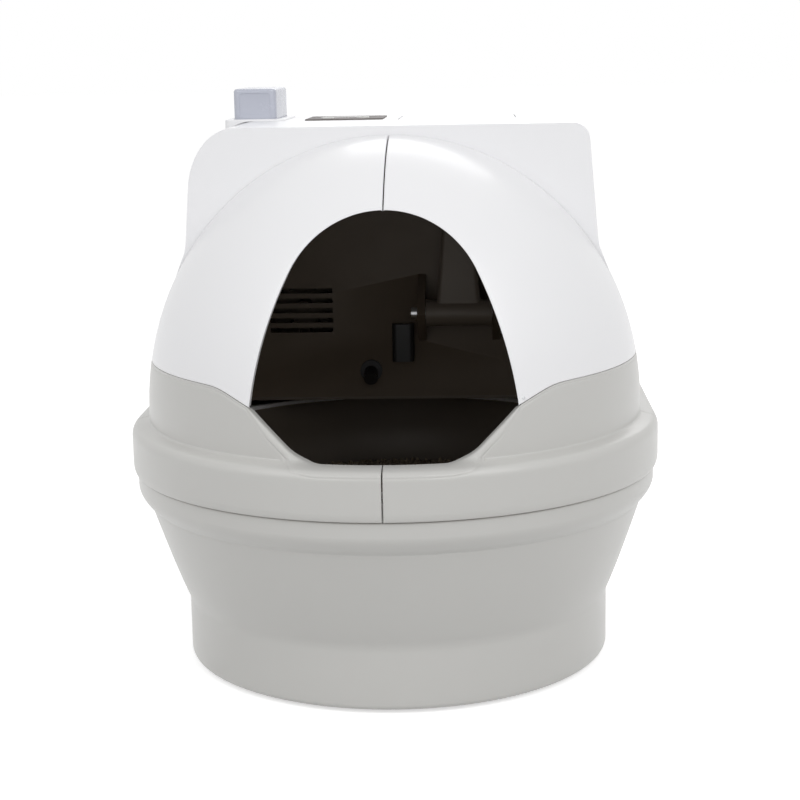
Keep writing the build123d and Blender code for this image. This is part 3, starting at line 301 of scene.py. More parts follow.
@dataclass
class Draft:
    """Vertices and faces of a piece before it becomes an object. Millimetres."""

    points: list[Sequence[float]] = field(default_factory=list)
    faces: list[tuple[int, ...]] = field(default_factory=list)
    finishes: list[int] = field(default_factory=list)

    def grid(self, rows: Array, wrap: bool = False, inner_from: int | None = None) -> int:
        """Add a sheet of quads.

        Args:
            rows: Points by row and column.
            wrap: Whether the last column joins the first.
            inner_from: Column from which faces take material 1.

        Returns:
            The first point's number.
        """
        start = len(self.points)
        count, width = rows.shape[:2]
        self.points.extend(rows.reshape(-1, 3).tolist())
        for row in range(count - 1):
            for column in range(width if wrap else width - 1):
                after = (column + 1) % width
                a, b = start + row * width + column, start + row * width + after
                self.faces.append((a, b, b + width, a + width))
                self.finishes.append(int(inner_from is not None and column >= inner_from))
        return start

    def polygon(self, numbers: Sequence[int]) -> None:
        """Add one face of the first finish by its points' numbers."""
        self.faces.append(tuple(numbers))
        self.finishes.append(0)

    def solid(self, rows: Array) -> None:
        """Add a closed solid from loops of points, with a cap at each end."""
        start, width = self.grid(rows, wrap=True), rows.shape[1]
        last = start + (len(rows) - 1) * width
        self.polygon(range(start, start + width))
        self.polygon(range(last, last + width))

    def build(self, name: str, finishes: Sequence[Finish], sharp: float = 32.0) -> bpy.types.Object:
        """Make the object, with doubles merged and faces outward.

        Args:
            name: The piece's name.
            finishes: Its finishes, in the order of the face numbers.
            sharp: Angle in degrees above which an edge stays sharp.

        Returns:
            The new object, in metres.
        """
        mesh = bpy.data.meshes.new(name)
        mesh.from_pydata([tuple(c * MM for c in p) for p in self.points], [], self.faces)
        mesh.polygons.foreach_set("material_index", self.finishes)
        for finish in finishes:
            mesh.materials.append(finish.material())
        tidy_mesh(mesh, sharp)
        return place(name, mesh)


def tidy_mesh(mesh: bpy.types.Mesh, sharp: float = 32.0) -> None:
    """Merge doubles, drop collapsed faces, turn faces outward and set smooth shading."""
    work = bmesh.new()
    work.from_mesh(mesh)
    bmesh.ops.remove_doubles(work, verts=work.verts, dist=0.02 * MM)
    bmesh.ops.dissolve_degenerate(work, edges=work.edges, dist=0.01 * MM)
    bmesh.ops.recalc_face_normals(work, faces=work.faces)
    work.to_mesh(mesh)
    work.free()
    mesh.polygons.foreach_set("use_smooth", [face.loop_total <= 4 for face in mesh.polygons])
    mesh.set_sharp_from_angle(angle=math.radians(sharp))


def place(name: str, mesh: bpy.types.Mesh) -> bpy.types.Object:
    """Link a mesh to the scene as an object at the origin."""
    made = bpy.data.objects.new(name, mesh)
    bpy.context.scene.collection.objects.link(made)
    return made


def bake(piece: bpy.types.Object, sharp: float | None = None) -> bpy.types.Object:
    """Turn a piece's modifiers into plain mesh.

    Args:
        piece: The object with live modifiers.
        sharp: If given, shade smooth again with this angle.

    Returns:
        The same object.
    """
    graph = bpy.context.evaluated_depsgraph_get()
    mesh = bpy.data.meshes.new_from_object(piece.evaluated_get(graph), depsgraph=graph)
    piece.modifiers.clear()
    piece.data = mesh
    if sharp is not None:
        tidy_mesh(mesh, sharp)
    return piece


def cut(target: bpy.types.Object, cutter: bpy.types.Object, operation: str = "DIFFERENCE") -> None:
    """Take one solid from another, exactly.

    Args:
        target: What is cut.
        cutter: What is taken away, or what is kept of the target; removed afterwards.
        operation: The boolean's operation.
    """
    modifier = target.modifiers.new("cut", "BOOLEAN")
    modifier.operation, modifier.solver, modifier.object = operation, "EXACT", cutter
    bake(target)
    bpy.data.objects.remove(cutter)


def soften(
    piece: bpy.types.Object, width: float, segments: int = 3, angle: float = 35.0
) -> bpy.types.Object:
    """Round a piece's sharp edges.

    Args:
        piece: The object.
        width: Bevel width in millimetres.
        segments: Steps in the round.
        angle: Edges sharper than this many degrees are rounded.

    Returns:
        The same object.
    """
    modifier = piece.modifiers.new("round", "BEVEL")
    modifier.width, modifier.segments = width * MM, segments
    modifier.limit_method, modifier.angle_limit = "ANGLE", math.radians(angle)
    return bake(piece, 40.0)


def prism(name: str, outline: Array, low: float, high: float, axis: int = 2) -> bpy.types.Object:
    """Extrude a closed outline along an axis.

    Args:
        name: Object name.
        outline: Points of two coordinates, in order, in the plane across the axis.
        low: Start along the axis.
        high: End along the axis.
        axis: 0, 1 or 2 for x, y or z.

    Returns:
        A closed solid.
    """
    draft = Draft()
    draft.solid(np.array([np.insert(outline, axis, level, axis=1) for level in (low, high)]))
    return draft.build(name, [GREY])


def ring(centre: Pair, radius: float, steps: int) -> Array:
    """Points round a circle, as points of two coordinates."""
    turns = np.radians(np.linspace(0, 360, steps + 1))[:-1]
    return np.stack((centre[0] + radius * np.cos(turns), centre[1] + radius * np.sin(turns)), 1)


def arc_points(centre: Pair, radius: float, start: float, end: float) -> list[Pair]:
    """Points round part of a circle between two angles in degrees, without the first."""
    turns = np.radians(np.linspace(start, end, 25))[1:]
    return [(centre[0] + radius * math.cos(t), centre[1] + radius * math.sin(t)) for t in turns]


def spread(*spans: tuple[float, float, int]) -> Array:
    """Even steps over several spans, one after another."""
    return np.concatenate([np.linspace(*span) for span in spans])


def unit(vectors: Array) -> Array:
    """Vectors at length one."""
    return vectors / np.linalg.norm(vectors, axis=-1, keepdims=True)


def travelled(points: Array) -> Array:
    """Distance of each point from the first of its row, along the row."""
    steps = np.linalg.norm(np.diff(points, axis=1), axis=2)
    return np.concatenate((np.zeros((len(points), 1)), np.cumsum(steps, axis=1)), 1)


def stacked(plans: Sequence[Array], heights: Sequence[float]) -> Array:
    """Level outlines, each at its height."""
    return np.array([np.column_stack((plan, np.full(len(plan), z))) for plan, z in zip(plans, heights)])


def rounded_rectangle(centre: Pair, size: Pair, corner: float, steps: int = 8) -> Array:
    """Outline of a rectangle with round corners, as points of two coordinates."""
    points = []
    for index, (sx, sy) in enumerate(((1, 1), (-1, 1), (-1, -1), (1, -1))):
        for step in range(steps + 1):
            turn = math.pi / 2 * (index + step / steps)
            x = centre[0] + sx * (size[0] / 2 - corner) + corner * math.cos(turn)
            y = centre[1] + sy * (size[1] / 2 - corner) + corner * math.sin(turn)
            points.append((x, y))
    return np.array(points)


def dip(distance: Array, radius: float | Array) -> Array:
    """How far a round edge of a given radius falls at a distance from the edge."""
    inside = np.clip(radius - distance, 0.0, radius)
    return radius - np.sqrt(np.maximum(radius**2 - inside**2, 0.0))


# The body's form


@dataclass(frozen=True)
class Form:
    """Sizes of the body's outline, in millimetres, and the curves drawn from them."""

    rim: float = 244.5
    bowl_y: float = -66.5
    rear_y: float = 311.0
    rear_corner: float = 120.0
    seat: float = 180.6
    ledge: float = 225.2
    dome_base: float = 236.6
    dome_radius: float = 228.0
    dome_height: float = 246.4
    two_tone: float = 283.0
    housing_top: float = 490.0
    side_heights: tuple[float, ...] = (356.0, 378.0, 388.0, 490.0)
    side_insets: tuple[float, ...] = (45.05, 54.0, 55.5, 64.0)
    hood_back: float = -86.5
    housing_front: float = -86.1

    def band_inset(self, z: Array) -> Array:
        """Inset of the band round the body at given heights."""
        corner = 10.5
        over = np.clip(z - (self.ledge - corner), 0, corner)
        skirt = 2.0 * np.clip((self.seat + 8.0 - z) / 8.0, 0, 1) ** 2.4
        return skirt + corner - np.sqrt(corner**2 - over**2)

    def dome_inset(self, z: Array) -> Array:
        """Inset of the dome at given heights."""
        rise = np.clip((z - self.dome_base) / self.dome_height, -1, 1)
        return self.rim - self.dome_radius * np.sqrt(1 - rise**2)

    def inset(self, z: Array, housing: bool = False) -> Array:
        """Inset of the hood or the housing from the rim, with its creases softened.

        Args:
            z: Heights.
            housing: Whether the housing's kink and upright sides are followed.

        Returns:
            Insets, one for each height.
        """
        def raw(level: Array) -> Array:
            step = np.clip((level - self.ledge + 0.8) / 1.6, 0, 1)
            above = self.dome_inset(np.maximum(level, self.dome_base))
            low = self.band_inset(level) * (1 - step) + above * step
            if not housing:
                return low
            upright = np.interp(level, self.side_heights, self.side_insets)
            return np.where(level > self.side_heights[0], upright, low)

        reach = 2.2
        window = np.linspace(-reach, reach, 17)
        weights = np.cos(window / reach * math.pi / 2) + 0.05
        total = sum(w * raw(np.maximum(z + o, self.seat)) for o, w in zip(window, weights))
        near_top = np.clip((z - self.housing_top + 20.0) / 10.0, 0, 1)
        return (total / weights.sum()) * (1 - near_top) + raw(z) * near_top

    def dome(self) -> tuple[Array, Array]:
        """The dome's middle and its three half axes."""
        middle = np.array((0.0, self.bowl_y, self.dome_base))
        return middle, np.array((self.dome_radius, self.dome_radius, self.dome_height))

    def project(self, points: Array) -> Array:
        """Move points along rays from the dome's middle onto the dome."""
        middle, scale = self.dome()
        return unit((points - middle) / scale) * scale + middle

    def dome_normal(self, points: Array) -> Array:
        """Outward directions of the dome at points on it."""
        middle, scale = self.dome()
        return unit((points - middle) / scale**2)

    def plan(self, inset: float) -> Array:
        """The body's closed plan at an inset: round front, straight sides, round back corners."""
        radius, corner, back = self.rim - inset, self.rear_corner - inset, self.rear_y - inset
        front = np.radians(np.linspace(180, 360, 97))
        points = [(radius * math.cos(a), self.bowl_y + radius * math.sin(a)) for a in front]
        side = np.linspace(self.bowl_y, back - corner, 18)[1:]
        points += [(radius, y) for y in side]
        points += arc_points((radius - corner, back - corner), corner, 0, 90)
        across = np.linspace(radius - corner, corner - radius, 18)[1:]
        points += [(x, back) for x in across]
        points += arc_points((corner - radius, back - corner), corner, 90, 180)
        points += [(-radius, y) for y in side[::-1][1:]]
        return np.array(points)


FORM = Form()


@dataclass(frozen=True)
class Opening:
    """The cat's opening seen from the front: a basin below and an arch above."""

    bottom: float = 224.5
    flat: float = 50.0
    curve: Pair = (82.0, 238.5)
    corner: Pair = (111.5, 266.8)
    side: Pair = (99.5, 322.0)
    arch_centre: float = 338.0
    arch_radius: float = 87.0
    arch_end: float = 25.0

    def basin(self, x: Array) -> Array:
        """Height of the opening's lower edge from the middle to its corner."""
        run, rise = self.curve[0] - self.flat, self.curve[1] - self.bottom
        radius = (run**2 + rise**2) / (2 * rise)
        past = np.clip(x - self.flat, 0, run)
        bend = self.bottom + radius - np.sqrt(np.maximum(radius**2 - past**2, 0))
        slope = (self.corner[1] - self.curve[1]) / (self.corner[0] - self.curve[0])
        line = self.curve[1] + slope * (x - self.curve[0])
        return np.where(x < self.curve[0], bend, line)

    def joint(self, x: Array) -> Array:
        """Height of the line where white meets grey."""
        out = 141.0 - x
        return FORM.two_tone - 0.25 * (out + np.sqrt(out**2 + 81.0))

    def upper(self, count: int) -> Array:
        """Points along the arch, from the top middle down to the joint, as (x, z)."""
        turns = np.radians(np.linspace(90, self.arch_end, 80))
        across = self.arch_radius * np.cos(turns)
        arch = np.stack((across, self.arch_centre + self.arch_radius * np.sin(turns)), 1)
        side = three_point_arc(tuple(arch[-1]), self.side, self.corner, 80)[1:]
        line = np.vstack((arch, side))
        line = line[(line[:, 1] > self.joint(line[:, 0])) | (line[:, 1] > 300)]
        end_x = float(np.interp(self.joint(np.array([111.3]))[0], side[::-1, 1], side[::-1, 0]))
        line = np.vstack((line, (end_x, float(self.joint(np.array([end_x]))[0]))))
        line[0, 0] = SEAM / 2
        return resample(line, np.linspace(0, 1, count))


SEAM = 1.0
OPENING = Opening()


def three_point_arc(start: Pair, middle: Pair, end: Pair, count: int) -> Array:
    """Points along the arc through three points."""
    (ax, ay), (bx, by), (cx, cy) = start, middle, end
    area = 2 * (ax * (by - cy) + bx * (cy - ay) + cx * (ay - by))
    first, second, third = ax**2 + ay**2, bx**2 + by**2, cx**2 + cy**2
    x = (first * (by - cy) + second * (cy - ay) + third * (ay - by)) / area
    y = (first * (cx - bx) + second * (ax - cx) + third * (bx - ax)) / area
    radius = math.hypot(ax - x, ay - y)
    turns = np.linspace(math.atan2(ay - y, ax - x), math.atan2(cy - y, cx - x), count)
    return np.stack((x + radius * np.cos(turns), y + radius * np.sin(turns)), 1)


def resample(line: Array, shares: Array) -> Array:
    """Points at given shares of a line's length."""
    steps = np.linalg.norm(np.diff(line, axis=0), axis=1)
    along = np.concatenate(([0], np.cumsum(steps))) / steps.sum()
    return np.stack([np.interp(shares, along, line[:, i]) for i in range(line.shape[1])], 1)


def edge_shares(length: float, count: int, near: Sequence[float]) -> Array:
    """Shares from 0 to 1 that lie close together at both ends.

    Args:
        length: Length in millimetres.
        count: Number of even steps between the ends.
        near: Distances from each end that get a share of their own.

    Returns:
        The shares in order.
    """
    close = np.array(near) / length
    middle = np.linspace(close[-1], 1 - close[-1], count + 1)[1:-1]
    return np.concatenate((close, middle, 1 - close[::-1]))


# Hood


@dataclass
class Hood:
    """The lift-off front: two halves, each a grey lower and a white upper moulding."""

    wall: float = 3.0
    lip_depth: float = 13.0
    lip_width: float = 3.0
    lip_end: float = 112.5
    gap: float = 0.4
    rolled_edge: float = 5.6
    rolled_until: float = 96.0
    plain_edge: float = 1.0
    white_edge: float = 1.5
    white_groove: float = 0.3
    grey_groove: float = 0.45
    near: tuple[float, ...] = (0.0, 0.25, 0.6, 1.1, 1.6, 2.1, 2.5, 2.9, 3.3, 3.8, 4.6)

    def white_base(self) -> tuple[Array, Array]:
        """Points and directions of the white half: columns from the seam to the joint, rows outward."""
        columns = edge_shares(300.0, 66, self.near)
        rows_fine = np.linspace(0, 1, 160)
        arch = OPENING.upper(400)
        reach = np.sqrt(np.maximum(1 - (arch[:, 0] / self._dome(arch[:, 1])) ** 2, 0))
        inner = np.stack((arch[:, 0], FORM.bowl_y - self._dome(arch[:, 1]) * reach, arch[:, 1]), 1)
        inner = resample(inner, columns)
        away = FORM.hood_back - FORM.bowl_y
        ahead = 1 - (away**2 + (SEAM / 2) ** 2) / FORM.dome_radius**2
        top = FORM.dome_base + FORM.dome_height * math.sqrt(ahead)
        turn = np.linspace(0, 1, 400)
        section = math.sqrt(1 - (away / FORM.dome_radius) ** 2)
        low = math.asin((FORM.two_tone - FORM.dome_base) / (FORM.dome_height * section))
        angle = math.pi / 2 + (low - math.pi / 2) * turn
        outer = np.stack(
            (
                FORM.dome_radius * section * np.cos(angle),
                np.full_like(angle, FORM.hood_back),
                FORM.dome_base + FORM.dome_height * section * np.sin(angle),
            ),
            1,
        )
        outer[0] = (SEAM / 2, FORM.hood_back, top)
        outer = resample(outer, columns)
        seam_z = np.linspace(inner[0, 2], top, 200)
        seam = resample(self._on_dome(np.full(200, SEAM / 2), seam_z), rows_fine)
        joint_x = np.linspace(inner[-1, 0], outer[-1, 0], 400)
        joint = resample(self._on_dome(joint_x, OPENING.joint(joint_x)), rows_fine)
        u, v = columns[:, None, None], rows_fine[None, :, None]
        patch = (1 - v) * inner[:, None] + v * outer[:, None] + (1 - u) * seam[None] + u * joint[None]
        corners = (1 - u) * (1 - v) * inner[0] + u * (1 - v) * inner[-1]
        corners = corners + (1 - u) * v * outer[0] + u * v * outer[-1]
        fine = FORM.project(patch - corners)
        rows = []
        for line in fine:
            length = np.linalg.norm(np.diff(line, axis=0), axis=1).sum()
            rows.append(resample(line, edge_shares(length, 56, self.near)))
        points = np.array(rows)
        return points, FORM.dome_normal(points)

    @staticmethod
    def _dome(z: Array) -> Array:
        """Radius of the dome at given heights."""
        return FORM.rim - FORM.dome_inset(z)

    @classmethod
    def _on_dome(cls, x: Array, z: Array) -> Array:
        """Points on the front of the dome above given places of the front view."""
        depth = np.sqrt(np.maximum(cls._dome(z) ** 2 - x**2, 0))
        return np.stack((x, FORM.bowl_y - depth, z), 1)

    def grey_base(self) -> tuple[Array, Array, Array, Array]:
        """Points, directions, distances to the top edge and lip share of the grey half."""
        front_run, rear_run = 240.0, 380.0
        across = np.concatenate((np.array(self.near) / front_run, np.linspace(5.0 / front_run, 0.985, 110)))
        across = np.concatenate((across, 1 - np.array(self.near[::-1]) / rear_run))
        foot = FORM.seat + self.gap + np.array((0.0, 0.2, 0.5, 1.0, 2.0, 4.0, 7.0))
        fixed = spread((191.5, 213.0, 8), (214.0, 230.0, 40), (232.0, FORM.two_tone, 26))
        fixed = np.concatenate((foot, fixed))
        edge = np.array((8.6, 7.6, 7.0, 6.5, 6.0, 5.4, 4.3, 3.1, 2.1, 1.3, 0.65, 0.2, 0.0))
        points, tops, lips = [], [], []
        for share in across:
            height = 250.0
            for _ in range(40):
                radius = FORM.rim - float(FORM.inset(np.array([height]))[0])
                limit = math.acos((FORM.bowl_y - FORM.hood_back) / radius)
                start = math.asin(SEAM / 2 / radius)
                x = radius * math.sin(start + share * (limit - start))
                height += 0.6 * (self._top(x) - height)
            ahead = (self._top(x + 0.5) - self._top(x - 0.5)) / 1.0
            slope = ahead * math.cos(math.asin(min(x / radius, 1.0)))
            stretch = math.sqrt(1 + slope**2)
            low_edge = height - edge[0] * stretch
            heights = np.concatenate((np.minimum(fixed, low_edge), height - edge * stretch))
            radii = FORM.rim - FORM.inset(heights)
            limits = np.arccos((FORM.bowl_y - FORM.hood_back) / radii)
            starts = np.arcsin(SEAM / 2 / radii)
            turns = starts + share * (limits - starts)
            depths = FORM.bowl_y - radii * np.cos(turns)
            points.append(np.stack((radii * np.sin(turns), depths, heights), 1))
            tops.append((height - heights) / stretch)
            lips.append(float(np.clip((self.lip_end - x) / self.lip_width, 0, 1)))
        points = np.array(points)[:, ::-1]
        tops = np.array(tops)[:, ::-1]
        heights = points[..., 2]
        step = 0.5
        rise = (FORM.inset(heights + step) - FORM.inset(heights - step)) / (2 * step)
        level = np.zeros_like(heights)
        radial = unit(points - np.stack((level, level + FORM.bowl_y, heights), -1))
        return points, unit(radial + np.stack((level, level, rise), -1)), tops, np.array(lips)

    @staticmethod
    def _top(x: float) -> float:
        """Height of the grey half's top edge at a distance from the middle."""
        value = np.array([x])
        if x <= OPENING.corner[0]:
            return float(OPENING.basin(value)[0])
        climb = min((x - OPENING.corner[0]) / 0.8, 1.0)
        return float(OPENING.corner[1] * (1 - climb) + (OPENING.joint(value)[0] - Hood.gap) * climb)

    def shell(
        self, name: str, points: Array, normals: Array, tops: Array, round_top: Array, lips: Array,
        out: Array, side: Side, finish: Finish, groove: float,
    ) -> bpy.types.Object:
        """Give a sheet its wall, its round edges and the lip round the opening.

        Args:
            name: The piece's name.
            points: Outer points, by column from the seam and row from the opening outward.
            normals: Outward directions there.
            tops: Distance of each point from the opening or the joint.
            round_top: Radius of that edge, for each column.
            lips: From 0 to 1, how much of the lip each column has.
            out: Direction away from the opening in the front view, for each column.
            side: Which half of the hood.
            finish: The outside's finish.
            groove: Depth of the fine line that runs beside the rolled edge.

        Returns:
            The piece.
        """
        back = FORM.hood_back - points[..., 1]
        seam = points[..., 0] - SEAM / 2
        foot = points[..., 2] - (FORM.seat + self.gap)
        fall = np.maximum.reduce((dip(seam, 1.3), dip(back, 0.6), dip(foot, 0.9)))
        if finish is WHITE:
            joint = travelled(points[::-1].swapaxes(0, 1)).T[::-1]
            fall = np.maximum(fall, dip(joint, 0.8))
        inward = dip(tops, round_top[:, None])
        outer = points - normals * fall[..., None]
        outer[..., 1] += inward * np.clip(1 - fall, 0, 1)
        edge = points[:, 0]
        middle = round_top[:, None] + 0.9
        outer -= normals * (groove * np.exp(-(((tops - middle) / 0.55) ** 2)))[..., None]
        lip = []
        depths = (0.45, 0.75, 1.0)
        first = outer[:, 0, 1] - edge[:, 1]
        depth = self.wall + (self.lip_depth - self.wall) * lips
        for share in depths:
            row = edge.copy()
            row[:, 1] = edge[:, 1] + first + (depth - first) * share
            lip.append(row)
        row = lip[-1] + out * (self.lip_width * lips)[:, None]
        lip.append(row)
        numbers = np.arange(tops.shape[1])
        start = [np.interp(self.lip_width * share, row, numbers) for share, row in zip(lips, tops)]
        inner = points - normals * self.wall
        for column, place_at in enumerate(start):
            low = int(place_at)
            part = place_at - low
            after = min(low + 1, inner.shape[1] - 1)
            inner[column, : low + 1] = inner[column, low] * (1 - part) + inner[column, after] * part
        section = np.concatenate((outer[:, ::-1], np.stack(lip, 1), inner), 1)
        section[..., 0] *= side.value
        draft = Draft()
        rows = outer.shape[1]
        width = section.shape[1]
        first_point = draft.grid(section, wrap=True, inner_from=rows + len(lip))
        for column in (0, len(section) - 1):
            base = first_point + column * width
            for row_number in range(rows - 1):
                a, b = base + row_number, base + row_number + 1
                draft.polygon((a, b, base + width - 2 - row_number, base + width - 1 - row_number))
            draft.polygon(range(base + rows - 1, base + rows + len(lip) + 1))
        # The inside faces take the dark brown painted shade.
        return draft.build(name, [finish, HOOD_INSIDE_SHADE], 38.0)

    @staticmethod
    def _away(edge: Array) -> Array:
        """Directions square to an edge line in the front view."""
        tangent = np.gradient(edge, axis=0)
        return unit(np.stack((-tangent[:, 2], np.zeros(len(tangent)), tangent[:, 0]), 1))

    def build(self) -> None:
        """Make, dress and attach the four mouldings."""
        white, white_normals = self.white_base()
        distance, out = travelled(white), self._away(white[:, 0])
        grey, grey_normals, tops, lips = self.grey_base()
        grey_out = -self._away(grey[:, 0])
        beyond = np.clip((grey[:, 0, 0] - self.rolled_until) / 16.0, 0, 1)
        grey_round = self.rolled_edge * (1 - beyond) + self.plain_edge * beyond
        for side in Side:
            word = side.name.lower()
            upper = self.shell(
                f"white_hood_{word}", white, white_normals, distance, np.full(len(white), self.white_edge),
                np.ones(len(white)), out, side, WHITE, self.white_groove,
            )
            lower = self.shell(
                f"grey_hood_{word}", grey, grey_normals, tops, grey_round, lips, grey_out, side, GREY,
                self.grey_groove,
            )
            for piece, node, slot in (
                (upper, f"hood_upper_{word}", "white_shell"),
                (lower, f"hood_lower_{word}", "grey_shell"),
            ):
                attach(piece, f"hood_{word}", slot, node)


def attach(piece: bpy.types.Object, body: str, slot: str, *nodes: str) -> None:
    """Let a finished piece ride on a body and stand for CAD nodes."""
    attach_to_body(piece, body)
    if nodes:
        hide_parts(*nodes)
    LOG.info("%s rides on %s with %d faces", piece.name, body, len(piece.data.polygons))


# Tub and housing


@dataclass
class Tub:
    """The grey base tub: pedestal, bulging flare, bead, seat and spigot."""

    foot: float = 3.0
    pedestal_inset: float = 47.0
    pedestal_top: float = 60.0
    flare_inset: float = 14.5
    flare_top: float = 150.0
    bead_inset: float = 3.9
    bead_top: float = 168.0
    spigot_inset: float = 6.1
    spigot_top: float = 197.0
    wall: float = 3.5
    floor: float = 7.0
    foot_round: float = 5.0

    def outside(self) -> list[Pair]:
        """Heights and insets of the outside, from the floor to the seat."""
        levels = [
            (
                self.foot + self.foot_round * (1 - math.cos(a)),
                self.pedestal_inset + self.foot_round * (1 - math.sin(a)),
            )
            for a in np.radians(np.linspace(0, 90, 8))
        ]
        levels += [(z, self.pedestal_inset) for z in (14.0, 30.0, 45.0, 54.0)]
        rise = self.flare_top - self.pedestal_top
        bead = (154.0, self.bead_top, 16)
        for z in spread((56.0, 66.0, 11), (70.0, 147.0, 26), (148.6, 153.0, 14), bead):
            reach = 1.3 if z > 140.0 else 5.0
            window = np.linspace(-reach, reach, 21)
            levels.append((float(z), float(np.mean([self._raw(z + o, rise) for o in window]))))
        edge = ((-6.6, 0.0), (-1.6, 0.0), (-0.8, 0.12), (-0.2, 0.6), (0.0, 1.2))
        return levels + [(FORM.seat + rise, self.bead_inset + inset) for rise, inset in edge]

    def _raw(self, z: float, rise: float) -> float:
        """Inset of the flare and bead before its corners are softened."""
        if z <= self.pedestal_top:
            return self.pedestal_inset
        if z <= self.flare_top:
            share = (z - self.pedestal_top) / rise
            return self.pedestal_inset + (self.flare_inset - self.pedestal_inset) * share**0.9
        share = min((z - self.flare_top) / (self.bead_top - self.flare_top), 1.0)
        crease = 1.1 * math.exp(-(((z - self.flare_top) / 1.1) ** 2))
        swell = (self.bead_inset - self.flare_inset) * math.sin(math.pi / 2 * share)
        return self.flare_inset + crease + swell

    def build(self) -> None:
        """Make the tub as one closed wall and floor."""
        outside = self.outside()
        floor = self.foot + self.floor
        inside = [(z, inset + self.wall) for z, inset in outside if z > floor and z < 166.0]
        levels = [(self.foot + 3.0, self.pedestal_inset + 6.0), (self.foot, self.pedestal_inset + 6.0)]
        levels += outside
        levels += [(FORM.seat, self.spigot_inset), (self.spigot_top - 0.8, self.spigot_inset)]
        levels += [(self.spigot_top, self.spigot_inset + 0.8)]
        levels += [(self.spigot_top, self.spigot_inset + self.wall)]
        levels += [(self.bead_top, self.spigot_inset + self.wall)] + inside[::-1]
        levels += [(floor, self.pedestal_inset + self.wall)]
        draft = Draft()
        draft.solid(stacked([FORM.plan(inset) for _, inset in levels], [z for z, _ in levels]))
        attach(draft.build("base_moulding", [GREY], 36.0), "base", "grey_shell", "base_tub")


@dataclass(frozen=True)
class TopLayout:
    """Places and sizes on the housing's top, in millimetres."""

    cartridge: Pair = (-143.0, 148.0)
    cartridge_size: Pair = (43.0, 104.0)
    dock_hole: Pair = (49.8, 109.8)
    dock_hole_bottom: float = 450.0
    panel: Pair = (-53.0, 128.0)
    panel_size: Pair = (78.0, 92.0)
    panel_corner: float = 5.0
    panel_seat: float = 488.7
    panel_ledge: float = 8.0
    hatch_hole_centre: Pair = (60.0, 128.6)
    hatch_hole: Pair = (117.6, 110.8)
    below: float = 480.0
    above: float = 500.0

    def cuts(self) -> list[tuple[Pair, Pair, float, float]]:
        """Centre, size, bottom and corner radius of each cut-out in the top."""
        inner = (self.panel_size[0] - 2 * self.panel_ledge, self.panel_size[1] - 2 * self.panel_ledge)
        return [
            (self.cartridge, self.dock_hole, self.dock_hole_bottom, 0.3),
            (self.panel, self.panel_size, self.panel_seat, self.panel_corner),
            (self.panel, inner, self.below, 1.0),
            (self.hatch_hole_centre, self.hatch_hole, self.below, 1.2),
        ]


TOP = TopLayout()


